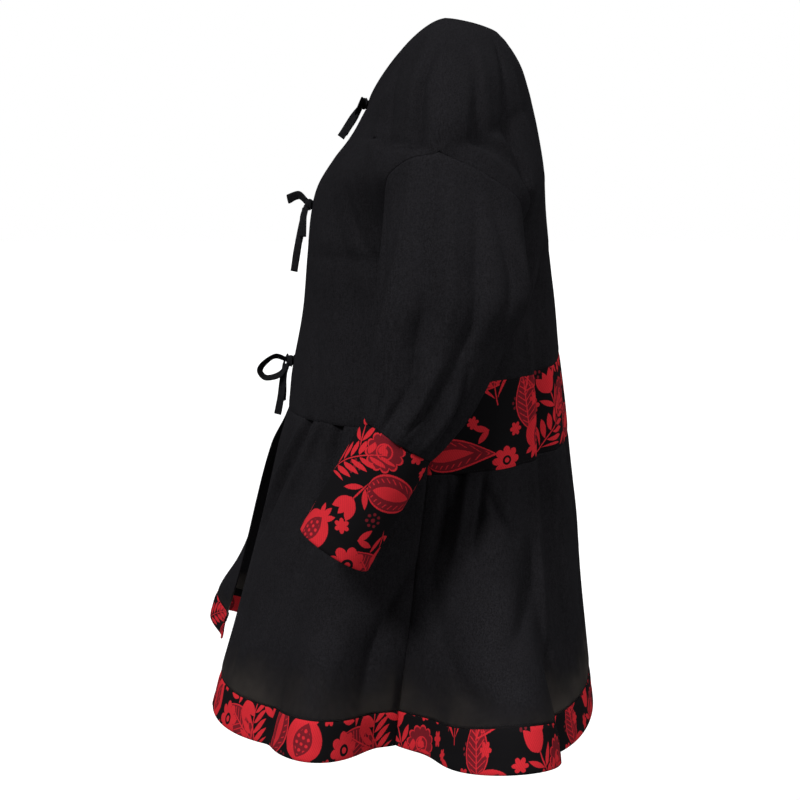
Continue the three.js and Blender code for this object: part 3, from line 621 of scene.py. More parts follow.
def sleeve_height(u, angle, side):
    degrees = np.degrees(angle)
    height = np.zeros(np.broadcast(u, angle).shape)
    for (u_a, u_b), ends, heights, wide in SLEEVE_FOLDS:
        t = (u - u_a) / (u_b - u_a)
        height += fold_at(t, np.abs(degrees - mix(*ends, t)) / mix(*wide, t), heights)
    shift = SLEEVE_SHIFT if side == RIGHT else 0
    x, y = np.broadcast_arrays(degrees * SLEEVE_DEGREE, u * SLEEVE_LENGTH)
    for high, wide, *path in SLEEVE_CREASES:
        points = zip(path[::2], path[1::2])
        path = [((a + shift) * SLEEVE_DEGREE, b / 100 * SLEEVE_LENGTH) for a, b in points]
        height += crease_at(x, y, path, SLEEVE_DEPTH * high, wide, SLEEVE_TAPER)
    height -= SEAM_SINK * np.exp(-((u * SLEEVE_LENGTH / SEAM_REACH) ** 2))
    near = np.clip((u - GATHER_START) / (1 - GATHER_START), 0, 0.97)
    wave = np.cos(GATHERS * angle + 0.5 * np.sin(3 * angle)) * (0.8 + 0.3 * np.sin(2 * angle + 1))
    fine = 0.3 * np.cos(23 * angle + 1.2 * np.sin(2 * angle)) * near
    return height + GATHER_HEIGHT * np.sin(math.pi * near) * (wave + fine)


def sleeve_surface(u, angle, side=LEFT):
    """Sleeve's middle surface on the wearer's left, u down its length."""
    rings = [ring_point(row[1:4], row[4], row[5], row[6], angle) for row in SLEEVE_ROWS]
    knots = [0.0] + [row[0] for row in SLEEVE_ROWS]
    points = hermite(knots, np.stack([armhole_points(angle)] + rings), u)
    outward = np.stack([-np.cos(angle), -np.sin(angle), 0 * angle], axis=-1)
    height = sleeve_height(u[:, None], angle[None, :], side)
    swell = hang(*np.moveaxis(points, -1, 0)) * smooth(u / SLEEVE_CALM)[:, None]
    return points + outward * (height + swell)[..., None]


def panel_grid(face, signed, v):
    """Points and normals where signed is the share, plus on the wearer's left."""
    share = np.abs(signed)
    left, right = panel(face, LEFT, share, v), panel(face, RIGHT, share, v)
    where = (signed < 0)[..., None]
    return [np.where(where, r, l) for l, r in zip(left, right)]


def rows_of(low, high, step):
    """Heights from low to high, held back at seams, about step millimetres apart."""
    span = V_SPAN_BELOW if low < 0 else V_SPAN_ABOVE
    low = low if low == HEM else low + SEAM_GAP / span
    high = high if high == NECKLINE else high - SEAM_GAP / span
    count = max(4, round((high - low) * span / step))
    return np.linspace(low, high, count + 1)


def row_span(face, v):
    """Length of a row for one unit of share, measured at its side edge."""
    ends = base_point(face, LEFT, np.array([1, 1 - ROW_STEP])[None, :], np.asarray(v)[:, None])
    return np.linalg.norm(ends[:, 0] - ends[:, 1], axis=-1) / ROW_STEP


def turned_in(depth, away):
    """1 on a turned-in edge of some depth, 0 beyond it."""
    return smooth((depth + TURN_SOFT / 2 - away) / TURN_SOFT)


def panel_mesh(shell, face, ends, v, columns, thick, turned, seams, cut):
    """Adds one panel. ends are its signed shares, turned its turned-in edges with their
    depths, seams its allowances, and cut is where in the printed cloth it was cut."""
    v = v[:, None]
    span = row_span(face, v[:, 0])[:, None]
    low, high = [np.full(v.shape, float(e)) for e in ends]
    low, high = [np.where(np.abs(e) == 1, e * (1 - SEAM_GAP / span), e) for e in (low, high)]
    signed = low + (high - low) * np.linspace(0, 1, columns + 1)[None, :]
    v = np.broadcast_to(v, signed.shape)
    grid = panel_grid(face, signed, v)[0]
    away = {
        "hem": (v - HEM) * V_SPAN_BELOW,
        "neck": (NECKLINE - v) * V_SPAN_ABOVE * 0.5,
        "edge": np.abs(signed) * row_length(face, LEFT, v[:, 0])[:, None],
    }
    thickness = np.full(signed.shape, float(thick))
    for kind, depth in turned.items():
        thickness += TURN_EXTRA[kind] * turned_in(depth, away[kind])
    wall(shell, grid, thickness, uvs=grid_uvs(grid, cut))
    for kind, at, reach in seams:
        allowance(shell, face, signed, v, span, kind, at, reach)


def allowance(shell, face, signed, v, span, kind, at, reach):
    """Inner seam allowance: a strip under the cloth that also closes the seam."""
    steps = np.linspace(-ALLOWANCE_OVER * np.sign(reach), reach, ALLOWANCE_ROWS)
    if kind == "row":
        v_strip = np.clip(at + steps[:, None] / span_of(at), HEM, NECKLINE)
        nearest = int(np.argmin(np.abs(v[:, 0] - at)))
        s_strip = np.broadcast_to(signed[nearest][None, :], (len(steps), signed.shape[1]))
        v_strip = np.broadcast_to(v_strip, s_strip.shape)
    else:
        edge = signed[:, :1] if kind == "first" else signed[:, -1:]
        s_strip = edge - np.sign(edge) * steps[None, :] / span
        v_strip = np.broadcast_to(v[:, :1], s_strip.shape)
        if kind == "last":
            s_strip = s_strip[:, ::-1]
    grid, normals = panel_grid(face, s_strip, v_strip)
    if reach < 0:
        grid, normals = grid[::-1], normals[::-1]
    wall(shell, grid - normals * ALLOWANCE_DEPTH, ALLOWANCE_THICK)


def stitches(shell, line, normals):
    """Thread stitches along a line on the cloth."""
    run = run_along(line)
    starts = np.arange(STITCH_PITCH / 2, run[-1] - STITCH_LENGTH, STITCH_PITCH)

    def at(table, x):
        return np.stack([np.interp(x, run, table[:, c]) for c in range(3)], axis=-1)

    first, last = at(line, starts), at(line, starts + STITCH_LENGTH)
    normal = unit(at(normals, starts))
    side = np.cross(unit(last - first), normal)
    middle = (first + last) / 2 + normal * STITCH_RADIUS * 0.6
    ring = [middle + way * STITCH_RADIUS for way in (side, normal, -side, -normal)]
    points = np.stack([first, last] + ring, axis=1).reshape(-1, 3)
    faces = []
    for base in range(0, 6 * len(starts), 6):
        for i in range(4):
            a, b = base + 2 + i, base + 2 + (i + 1) % 4
            faces += [(base, b, a), (base + 1, a, b)]
    shell.add(points, faces, np.zeros((len(points), 2)), THREAD_SLOT)


def stitch_line(shell, face, ends, height, thick, count):
    """Stitches over the outside of a panel, at one height."""
    signed = np.linspace(ends[0], ends[1], count)[None, :]
    grid, normals = panel_grid(face, signed, np.full(signed.shape, height))
    stitches(shell, grid[0] + normals[0] * thick / 2, normals[0])


def edge_stitches(shell, side, low, high, thick):
    """Stitches up a front's centre edge."""
    v = np.linspace(low, high, EDGE_ROWS)[:, None]
    length = row_length("front", side, v[:, 0])[:, None]
    grid, normals = panel_grid("front", side * EDGE_INSET / length, v)
    stitches(shell, grid[:, 0] + normals[:, 0] * thick / 2, normals[:, 0])


# Thickness and mesh step of each cloth
CLOTHS = {"crepe": (CREPE_THICK, 4.0), "print": (COTTON_THICK, 2.8)}

# Panels of each face: name, cloth, low and high edge, columns, turned-in edges with their
# depths, height of the seam allowance and its way up or down, and stitch lines: share at
# both ends, height and points
PANELS = {
    "front": [
        ("bodice_front", "crepe", WAIST, NECKLINE, 72, {"edge": 9, "neck": 8}, (WAIST, 1),
         [(0.02, 0.99, NECKLINE - 0.028, 400)]),
        ("skirt_front", "crepe", HEM_TOP, WAIST, 96, {"edge": 9}, None,
         [(0.004, 0.995, HEM_TOP + 0.007, 600)]),
        ("hem_band_front", "print", HEM, HEM_TOP, 130, {"edge": 8, "hem": 9}, (HEM_TOP, -1),
         [(0.01, 0.99, HEM + 0.024, 600)]),
    ],
    "back": [
        ("bodice_back", "crepe", BAND_TOP, NECKLINE, 150, {"neck": 8}, (BAND_TOP, 1),
         [(0.99, -0.99, NECKLINE - 0.028, 400)]),
        ("waist_band_back", "print", BAND_BOTTOM, BAND_TOP, 190, {}, None,
         [(0.99, -0.99, BAND_TOP - 0.006, 700), (0.99, -0.99, BAND_BOTTOM + 0.006, 700)]),
        ("skirt_back", "crepe", HEM_TOP, BAND_BOTTOM, 230, {}, (BAND_BOTTOM, -1),
         [(0.995, -0.995, HEM_TOP + 0.007, 900)]),
        ("hem_band_back", "print", HEM, HEM_TOP, 300, {"hem": 9}, (HEM_TOP, -1),
         [(0.99, -0.99, HEM + 0.024, 900)]),
    ],
}
# Where in the printed cloth each piece was cut
CUTS = {
    "hem_band_front_left": (40, 112), "hem_band_front_right": (610, 36),
    "waist_band_back": (118, 20), "hem_band_back": (75, 66),
    "cuff_left": (0, 420), "cuff_right": (95, 420),
}
# Faces and sides in the order of making: end of the names, signed shares of both ends
FACES = [
    ("front", LEFT, "_left", (EDGE, 1)),
    ("front", RIGHT, "_right", (-1, -EDGE)),
    ("back", LEFT, "", (1, -1)),
]


def panel_pieces(looks):
    """Bodice, waist band, skirt and hem band of the fronts and the back."""
    made = {}
    for face, side, suffix, ends in FACES:
        for stem, cloth, low, high, columns, turned, seam, lines in PANELS[face]:
            name = stem + suffix
            thick, step = CLOTHS[cloth]
            seams = [("row", seam[0], seam[1] * ALLOWANCE_WIDTH)] if seam else []
            if face == "front":
                seams.append(("last" if side == LEFT else "first", 0, ALLOWANCE_WIDTH))
            shell = Shell()
            rows, cut = rows_of(low, high, step), CUTS.get(name, (0, 0))
            panel_mesh(shell, face, ends, rows, columns, thick, turned, seams, cut)
            if face == "front" and cloth == "crepe":
                edge_stitches(shell, side, low + EDGE_STOP, high - EDGE_STOP, thick)
            lift = NECK_LIFT if high == NECKLINE else 0
            for start, end, height, count in lines:
                stitch_line(shell, face, (start * side, end * side), height, thick + lift, count)
            made[name] = shell.make(f"{name}_cloth", looks[cloth])
    return made


SLEEVE_COLUMNS, SLEEVE_RINGS = 128, 96
CUFF_COLUMNS, CUFF_RINGS = 96, 48
# Depth of the cuff's turned-in hem and what it adds; stitches this far from seam and hem
CUFF_TURN, CUFF_EXTRA = 14.0, 0.8
CUFF_STITCHES, CUFF_POINTS = (2.2, CUFF_TURN - 0.8), 200


def tube_allowance(shell, base, side):
    """Seam allowance inside a sleeve or cuff, under the rings of base."""
    base = base + grid_normals(base, True) * ALLOWANCE_DEPTH
    wall(shell, base * (side, 1, 1), ALLOWANCE_THICK, True, outward=-side)


def sleeve_piece(name, side, looks):
    shell = Shell()
    angle = np.linspace(0, FULL_TURN, SLEEVE_COLUMNS, endpoint=False)
    ends = [x / SLEEVE_LENGTH for x in (SEAM_GAP, SLEEVE_LENGTH - SEAM_GAP)]
    grid = sleeve_surface(np.linspace(*ends, SLEEVE_RINGS), angle, side)
    wall(shell, grid * (side, 1, 1), CREPE_THICK, True, outward=-side)

    # Allowance inside the armhole; its first ring stands a little beyond the seam
    away = unit(sleeve_surface(np.array([SLEEVE_BELOW]), angle)[0] - armhole_points(angle))
    base = sleeve_surface(np.clip(TUBE_STEPS, 0, None) / SLEEVE_LENGTH, angle, side)
    tube_allowance(shell, base + away * np.clip(TUBE_STEPS, None, 0)[:, None, None], side)
    return shell.make(f"{name}_cloth", looks["crepe"])


def cuff_surface(t, angle, side):
    """Cuff tube, t from its seam to its hem."""
    top, end = np.array(CUFF_TOP, float), np.array(CUFF_END, float)
    lines = []
    for step in t:
        half_x, half_y = [mix(a, b, step) for a, b in zip(CUFF_HALF_TOP, CUFF_HALF_END)]
        wave = 1 + 0.006 * np.sin(3 * angle + 4 * step + side)
        wave = wave + 0.004 * np.sin(5 * angle - 3 * step)
        centre = top + (end - top) * step
        lines.append(ring_point(centre, half_x * wave, half_y * wave, SLEEVE_ROWS[-1][6], angle))
    return np.array(lines)


def cuff_piece(name, side, looks):
    shell = Shell()
    length = math.dist(CUFF_TOP, CUFF_END)
    angle = np.linspace(0, FULL_TURN, CUFF_COLUMNS, endpoint=False)
    t = np.linspace(SEAM_GAP / length, 1, CUFF_RINGS)
    thick = COTTON_THICK + CUFF_EXTRA * turned_in(CUFF_TURN, (1 - t) * length)
    thick = np.broadcast_to(thick[:, None], (len(t), CUFF_COLUMNS + 1))
    around = math.pi * (CUFF_HALF_TOP[0] + CUFF_HALF_TOP[1])
    shift, rise_ = CUTS[name]
    uv = np.meshgrid(np.linspace(0, around, CUFF_COLUMNS + 1) + shift, rise_ - t * length)
    mirror = np.array((side, 1, 1))
    grid = cuff_surface(t, angle, side) * mirror
    wall(shell, grid, thick, True, np.stack(uv, -1), outward=-side)

    # Stitches of the hem and beside the seam, then the allowance over the sleeve's end
    dense = np.linspace(0, FULL_TURN, CUFF_POINTS)
    out = np.stack([-np.cos(dense), -np.sin(dense), 0 * dense], -1)
    for at in (length - CUFF_STITCHES[1], CUFF_STITCHES[0]):
        line = cuff_surface([at / length], dense, side)[0]
        stitches(shell, (line + out * (COTTON_THICK / 2)) * mirror, out * mirror)
    tube_allowance(shell, cuff_surface(TUBE_STEPS / length, angle, side), side)
    return shell.make(f"{name}_cloth", looks["print"])


# Ties: height on the front edge, and ribbons from the knot: x, y, z and half width x, y, z
STRAP_SHARES = (0.08, 0.03)
STRAP_OUT = 0.8 + 1.6 + 0.8
KNOT_SIZE = (6.0, 5.0, 6.5)
STRAP_HALF = 4.5
BOWS = {
    "bow_neck": (0.985, [
        [(2, 0, 0, 0, 1, 5), (16, -3, 2, 0, 1, 5), (28, -6, -3, 0, 2, 5), (17, -8, -9, 0, 2, 5),
         (2, -3, -3, 0, 1, 5)],
        [(-2, 0, 0, 0, 1, 5), (-15, -3, 2, 0, 1, 5), (-25, -6, -4, 0, 2, 5),
         (-15, -8, -10, 0, 2, 5), (-2, -3, -3, 0, 1, 5)],
        [(3, -3, -2, 2, 2, -2), (8, -11, -14, 2, 3, -3), (10, -19, -27, 2, 3.5, -3),
         (9, -27, -39, 2, 3.5, -3)],
        [(-3, -3, -2, 4, 2, -2), (-9, -8, -14, 4, 1, -2), (-13, -15, -26, 4, 0, -2),
         (-14, -21, -36, 4, 0, -2)],
    ]),
    "bow_bust": (0.55, [
        [(2, -3, -1, 1, 3, 0), (6, -6.5, -14, 1, 4, 0), (9, -7, -34, 1, 4, 0),
         (12, -7, -35, 1, 4, 0), (9, -6.5, -16, 1, 4, 0), (3, -3, -3, 1, 3, 0)],
        [(-1, -2, 3, 1, 0, 4), (-6, -12, 11, 1, 0, 4.5), (-9, -24, 7, 1, -1, 5),
         (-5, -24, 6, 1, -1, 5), (-3, -12, 10, 1, 0, 4.5), (-1, -2, 1, 1, 0, 4)],
        [(3, -5, -4, 2, 3, 0), (6, -8, -24, 1.5, 4.3, 0), (7, -13, -48, 1.5, 4.3, -1),
         (6, -18, -78, 1.5, 4.3, -1)],
        [(-3, -3, -4, 4, -2, 0), (-7, -8, -20, 4, -2, 0), (-10, -11, -40, 4, -2, 0),
         (-11, -14, -60, 4, -2, 0)],
    ]),
    "bow_waist": (0.13, [
        [(2, -3, 1, 2, 0, 3), (8, -17, 6, 3, 0, 3.2), (12, -30, -2, 3, -2.2, 2.4),
         (13, -35, -11, 3, -3.2, 0), (12, -28, -19, 3, -1.5, -3), (9, -13, -16, 3, 1, -3.2),
         (3, -3, -5, 2, 1, -3)],
        [(-2, -3, 1, 0, 1, 3.5), (-14, -6, 3, 0, 2, 4), (-27, -9, -4, 0, 2, 4),
         (-29, -10, -10, 0, 2, 4), (-15, -8, -9, 0, 2, 4), (-3, -3, -4, 0, 1, 3.5)],
        [(3, -5, -4, 2, 3, 0), (6, -8, -20, 1.5, 4, -1), (8, -11, -42, 1.5, 4.2, -1),
         (8, -15, -63, 1.5, 4.2, -1)],
        [(-3, -3, -4, 4, -2, 0), (-9, -7, -18, 4, -2, 0), (-13, -8, -34, 4, -2, 0),
         (-15, -9, -50, 4, -2, 0)],
    ]),
}
RIBBON_STEPS, RIBBON_SECTION = 14, 16
KNOT_RINGS, KNOT_TURN, KNOT_SCALE = 28, 40, 0.95


def tube_faces(rows, columns):
    """Faces of a grid of points that is closed across its columns."""
    index = np.arange(rows * columns).reshape(rows, columns)
    beside = np.roll(index, -1, axis=1)
    return np.stack([index[:-1], beside[:-1], beside[1:], index[1:]], -1).reshape(-1, 4)


def signed_power(x, power):
    return np.sign(x) * np.abs(x) ** power


def ribbon(shell, rows):
    """Folded tie along rows of centre and half width: a flat tube with soft edges."""
    rows = np.asarray(rows, float)
    knots = np.arange(len(rows), dtype=float)
    at = np.linspace(0, len(rows) - 1, RIBBON_STEPS * (len(rows) - 1) + 1)
    centre, half = hermite(knots, rows[:, :3], at), hermite(knots, rows[:, 3:], at)
    along = unit(np.gradient(centre, axis=0))
    half -= along * (half * along).sum(-1, keepdims=True)
    size, flat = np.linalg.norm(half, axis=-1, keepdims=True), unit(half)
    over = np.cross(along, flat)
    run = run_along(centre)
    angle = np.linspace(0, FULL_TURN, RIBBON_SECTION, endpoint=False)
    across, proud = signed_power(np.cos(angle), 0.8), signed_power(np.sin(angle), 0.6)
    ripple = 0.25 * np.sin(run / 5.0)[:, None] * np.cos(angle)[None, :]
    grid = centre[:, None] + flat[:, None] * (size * across[None, :])[..., None]
    grid = grid + over[:, None] * (TIE_THICK / 2 * proud[None, :] + ripple)[..., None]
    points = np.concatenate([grid.reshape(-1, 3), centre[:1], centre[-1:]])
    start, end = len(points) - 2, len(points) - 1
    faces = list(tube_faces(len(at), RIBBON_SECTION))
    for i in range(RIBBON_SECTION):
        k = (i + 1) % RIBBON_SECTION
        last = start - RIBBON_SECTION
        faces += [(k, i, start), (last + i, last + k, end)]
    uvs = np.stack(np.broadcast_arrays(run[:, None], across[None, :] * 5), -1).reshape(-1, 2)
    shell.add(points, faces, np.concatenate([uvs, [[0, 0], [run[-1], 0]]]))


def knot(shell, centre):
    """Knot of the tie: the ribbon wrapped twice round itself, pulled tight."""
    lat = np.linspace(0, math.pi, KNOT_RINGS)[:, None]
    lon = np.linspace(0, FULL_TURN, KNOT_TURN, endpoint=False)[None, :]
    across = np.cos(lat)
    fold = 0.10 * np.cos(7 * across + 0.6 * np.sin(lon)) + 0.05 * np.sin(3 * lon + 5 * across)
    round_ = np.abs(np.sin(lat)) ** 0.7 * (1 + fold)
    x = KNOT_SIZE[0] * across + 0 * lon
    y = KNOT_SIZE[1] * round_ * np.cos(lon)
    z = KNOT_SIZE[2] * round_ * np.sin(lon)
    points = (np.stack([x, y, z], -1) * KNOT_SCALE + centre).reshape(-1, 3)
    uvs = np.stack([x * 2, z * 2], -1).reshape(-1, 2)
    shell.add(points, tube_faces(KNOT_RINGS, KNOT_TURN), uvs)


def bow_piece(name, looks):
    v, ribbons = BOWS[name]
    far, near = STRAP_SHARES
    signed = np.array([[far, near, -near, -far]])
    points, normals = panel_grid("front", signed, np.full(signed.shape, float(v)))
    strap = points[0] + normals[0] * STRAP_OUT
    centre = np.array([0, (strap[1, 1] + strap[2, 1]) / 2 - KNOT_SIZE[1] / 2, strap[1, 2]])
    shell = Shell()
    ribbon(shell, [tuple(p) + (0, 0, STRAP_HALF) for p in strap])
    knot(shell, centre)
    for rows in ribbons:
        ribbon(shell, [(*(centre + row[:3]), *row[3:]) for row in rows])
    return shell.make(f"{name}_cloth", looks["tie"])


def adds(operation):
    """A method that adds a Math node, its owner being the first value."""
    def method(wire, *values, clamp=False):
        return wire.g.math(operation, wire, *values, clamp=clamp)
    return method


class Wire:
    """A number or vector in a node tree. Arithmetic with it adds Math nodes."""

    __add__, __sub__, __mul__ = adds("ADD"), adds("SUBTRACT"), adds("MULTIPLY")
    __truediv__, __abs__, scaled = adds("DIVIDE"), adds("ABSOLUTE"), adds("MULTIPLY_ADD")

    def __init__(self, g, socket):
        self.g, self.socket = g, socket

    def __rsub__(self, other):
        return self.g.math("SUBTRACT", other, self)

    def by(self, operation, *values, **settings):
        return adds(operation)(self, *values, **settings)

    def vector(self, operation, *values):
        return self.g.vector(operation, self, *values)

    def split(self):
        """Its x, y and z."""
        node = self.g.node("ShaderNodeSeparateXYZ", {0: self})
        return [Wire(self.g, socket) for socket in node.outputs]


class Graph:
    """Short calls that add nodes to a tree."""

    def __init__(self, tree):
        self.tree = tree

    def put(self, socket, value):
        value = value.socket if isinstance(value, Wire) else value
        if isinstance(value, bpy.types.NodeSocket):
            self.tree.links.new(value, socket)
        else:
            socket.default_value = value

    def node(self, kind, values=(), **settings):
        node = self.tree.nodes.new(kind)
        for key, value in settings.items():
            setattr(node, key, value)
        for key, value in dict(values).items():
            self.put(node.inputs[key], value)
        return node

    def wire(self, kind, values=(), out=0, **settings):
        """One output of a new node."""
        return Wire(self, self.node(kind, values, **settings).outputs[out])

    def math(self, operation, *values, clamp=False):
        values = enumerate(values)
        return self.wire("ShaderNodeMath", values, operation=operation, use_clamp=clamp)

    def vector(self, operation, *values):
        out = "Value" if operation in ("LENGTH", "DOT_PRODUCT") else "Vector"
        values = enumerate(values)
        return self.wire("ShaderNodeVectorMath", values, out, operation=operation)

    def spin(self, place, degrees):
        values = {"Vector": place, "Angle": -math.radians(degrees)}
        return self.wire("ShaderNodeVectorRotate", values, rotation_type="Z_AXIS")

    def mix(self, factor, a, b):
        values = {0: factor, 6: a, 7: b}
        return self.wire("ShaderNodeMix", values, 2, data_type="RGBA", blend_type="MIX")

    def noise(self, place, scale, detail=2.0, roughness=0.5, out="Fac"):
        values = {"Vector": place, "Scale": scale, "Detail": detail, "Roughness": roughness}
        return self.wire("ShaderNodeTexNoise", values, out)

    def bump(self, height, strength, distance):
        values = {"Height": height, "Strength": strength, "Distance": distance}
        return self.wire("ShaderNodeBump", values)

    def object_place(self):
        return self.wire("ShaderNodeTexCoord", out="Object")


# Shapes of the print are distances to their edge, roughly in millimetres, minus inside
EDGE_SOFT = 0.4  # millimetres over which a printed edge fades


def inside(distance):
    """1 where a distance in millimetres is below 0, with a soft printed edge."""
    return distance.scaled(-1 / EDGE_SOFT, 0.5, clamp=True)


def lens(place, degrees, at, length, width):
    """Pointed leaf or petal."""
    moved = place.vector("SUBTRACT", (at[0], at[1], 0))
    x, y, _ = place.g.spin(moved, degrees).split()
    along = y * (2 / length)
    bulge = (along * along).scaled(-width / 2, width / 2)
    return abs(x) - bulge


def lens_pair(place, degrees, at, length, width):
    """A leaf and its mirror image."""
    x, y = at
    return lens(place, degrees, at, length, width), lens(place, -degrees, (-x, y), length, width)


def polar(place):
    x, y, _ = place.split()
    return y.by("ARCTAN2", x)


def petals(place, count, radius, depth, power=0.6):
    """Round flower of count petals."""
    wave = abs((polar(place) * (count / 2)).by("COSINE"))
    edge = wave.by("POWER", power).scaled(radius * depth, radius * (1 - depth))
    return place.vector("LENGTH") - edge


def circle(place, radius, at=(0, 0)):
    return place.vector("SUBTRACT", (at[0], at[1], 0)).vector("LENGTH") - radius


def either(*shapes):
    whole = shapes[0]
    for shape in shapes[1:]:
        whole = whole.by("MINIMUM", shape)
    return whole


def both(shape, other):
    return shape.by("MAXIMUM", other)


def without(shape, hole):
    return both(shape, hole * -1)


def draw_daisy(place):
    """Eight petals about an open middle with a button."""
    ring = without(petals(place, 8, 14, 0.36), circle(place, 4.6))
    return inside(either(ring, circle(place, 2.4))), None


def draw_outline_daisy(place):
    """Twelve-petal flower in outline on a dark fill."""
    whole = petals(place, 12, 15, 0.2)
    rim = without(whole, petals(place, 12, 13.4, 0.2))
    hub = without(circle(place, 6.2), circle(place, 4.9))
    return inside(either(rim, hub, circle(place, 2.6))), inside(whole)


def draw_tulip(place):
    """Three pointed petals on a stem with two leaves."""
    cup = either(*lens_pair(place, 24, (-4.6, 7), 19, 8.5), lens(place, 0, (0, 7.5), 18, 7))
    leaves = either(lens(place, 0, (0, -9), 22, 1.5), *lens_pair(place, 42, (-6.5, -8), 17, 4.6))
    return inside(either(cup, leaves)), None


def draw_sprig(place):
    """Bent twig with pairs of pointed leaves, smaller to its tip."""
    x, y, _ = place.split()
    high, step, lean, widest = 62.0, 8.6, 0.85, 3.3
    out = abs(x - y * y * 0.0032)
    run = y - out * lean
    near = abs(((run / step).by("FRACT") - 0.5) * step)
    long = run.scaled(-0.15, 17.0)
    share = (out - 0.9) / long
    swell = share * (1.0 - share)
    leaf = near - swell * (4 * widest)
    leaf = both(leaf, abs(run - high / 2) - (high / 2 - 4.2))
    stem = both(out - 0.55, abs(y - high / 2) - high / 2)
    return inside(either(leaf, stem)), None


def draw_drop(place):
    """Curled drop in outline on a dark fill, with a smaller drop and veins within."""
    x, y, _ = place.split()
    high, widest, curl = 54.0, 15.0, 17.0
    t = (y + high / 2) / high
    safe = t.by("MAXIMUM", 0.001)
    safe = safe.by("MINIMUM", 0.999)
    bend = safe.by("POWER", 2.4) * curl
    off = abs(x - bend + curl * 0.25)
    profile = safe.by("SQRT") * (1.0 - safe) * (2.6 * widest)
    beyond = abs(t - safe) * high
    whole = off - profile + beyond
    rim = without(whole, whole + 1.7)
    heart = whole + 9.6
    veins = ((y + off * 0.9) * 1.25).by("SINE")
    veins = without(both(veins.scaled(-1.6, 1.15), whole + 3.0), whole + 6.6)
    return inside(either(rim, heart, veins)), inside(whole)


def draw_fruit(place):
    """Round fruit with a crown, seeds showing dark through a window."""
    body = circle(place, 16, (0, -3))
    crown = either(lens(place, 0, (0, 15), 13, 5), *lens_pair(place, 28, (-4.5, 14), 12, 4.5))
    window = lens(place, 0, (0, -3), 27, 16) + 0.5
    moved = place.vector("WRAP", (2.1, 2.4, 1), (-2.1, -2.4, -1))
    seeds = both(moved.vector("LENGTH") - 1.35, window + 1.6)
    whole = either(body, crown)
    return inside(either(without(whole, window), seeds)), inside(window)


def draw_rosette(place):
    """Small six-petal blossom."""
    return inside(petals(place, 6, 6.2, 0.42, 0.9)), None


def draw_beads(place):
    """Ring of seven small dots about one."""
    slice_ = FULL_TURN / 7
    near = polar(place).by("WRAP", slice_ / 2, -slice_ / 2)
    far = place.vector("LENGTH")
    x = far * near.by("COSINE") - 4.6
    y = far * near.by("SINE")
    joined = place.g.wire("ShaderNodeCombineXYZ", {0: x, 1: y})
    dots = joined.vector("LENGTH") - 1.15
    return None, inside(either(dots, circle(place, 1.5)))


def draw_broad_leaf(place):
    """Broad leaf in outline on a dark fill, with a rib and slanting veins."""
    x, y, _ = place.split()
    off = abs(x)
    whole = lens(place, 0, (0, 0), 66, 34)
    rim = without(whole, whole + 1.8)
    rib = both(off - 0.9, whole)
    veins = (off.scaled(-0.8, y) * 0.95).by("SINE")
    veins = both(veins.scaled(-1.8, 1.35), whole + 3.2)
    return inside(either(rim, rib, veins)), inside(whole)


def draw_leaf_pair(place):
    """Two small leaves joined at their foot."""
    return inside(either(*lens_pair(place, 34, (-3.6, 3), 15, 5.4))), None


MOTIFS = {
    "daisy": draw_daisy,
    "outline_daisy": draw_outline_daisy,
    "tulip": draw_tulip,
    "sprig": draw_sprig,
    "drop": draw_drop,
    "fruit": draw_fruit,
    "rosette": draw_rosette,
    "beads": draw_beads,
    "leaf_pair": draw_leaf_pair,
    "broad_leaf": draw_broad_leaf,
}

# The print's repeat in millimetres, and its motifs: kind, x, y, turn in degrees, size
TILE = (160.0, 118.0)
LAYOUT = [
    ("drop", 23, 90, 160, 1.0),
    ("fruit", 61, 97, -18, 0.95),
    ("daisy", 97, 87, 10, 1.0),
    ("sprig", 137, 64, 14, 0.92),
    ("outline_daisy", 80, 54, 0, 1.0),
    ("sprig", 40, 16, -38, 0.9),
    ("drop", 108, 30, -70, 0.95),
    ("fruit", 17, 35, 155, 0.9),
    ("tulip", 54, 63, 25, 0.95),
    ("daisy", 144, 21, 0, 0.85),
    ("tulip", 120, 106, -150, 0.9),
    ("tulip", 77, 12, 165, 0.9),
    ("rosette", 38, 54, 0, 1.0),
    ("rosette", 80, 77, 20, 0.8),
    ("rosette", 103, 63, 10, 1.0),
    ("rosette", 12, 64, 0, 0.8),
    ("rosette", 117, 54, 15, 0.75),
    ("rosette", 153, 45, 0, 0.9),
    ("rosette", 80, 110, 0, 0.9),
    ("rosette", 139, 3, 0, 0.8),
    ("beads", 40, 78, 0, 1.0),
    ("beads", 66, 33, 10, 1.0),
    ("beads", 125, 77, 0, 1.0),
    ("beads", 155, 63, 20, 0.9),
    ("beads", 5, 7, 0, 1.0),
    ("beads", 97, 7, 0, 1.0),
    ("leaf_pair", 153, 103, 30, 1.0),
    ("leaf_pair", 97, 108, -60, 0.9),
    ("leaf_pair", 127, 47, 110, 0.9),
    ("leaf_pair", 21, 10, -120, 0.9),
    ("leaf_pair", 63, 80, 190, 0.8),
    ("broad_leaf", 118, 88, 62, 0.72),
    ("broad_leaf", 4, 62, 8, 0.62),
]


def motif_group(kind):
    """Node group of one motif about its middle, in millimetres."""
    tree = bpy.data.node_groups.new(f"motif_{kind}", "ShaderNodeTree")
    tree.interface.new_socket("Place", in_out="INPUT", socket_type="NodeSocketVector")
    tree.interface.new_socket("Tone", in_out="OUTPUT", socket_type="NodeSocketFloat")
    g = Graph(tree)
    place = g.wire("NodeGroupInput")
    end = g.node("NodeGroupOutput")
    red, dark = MOTIFS[kind](place)
    tone = dark if red is None else red * 2.0
    if red is not None and dark is not None:
        tone = tone.by("MAXIMUM", dark)
    g.put(end.inputs[0], tone)
    return tree


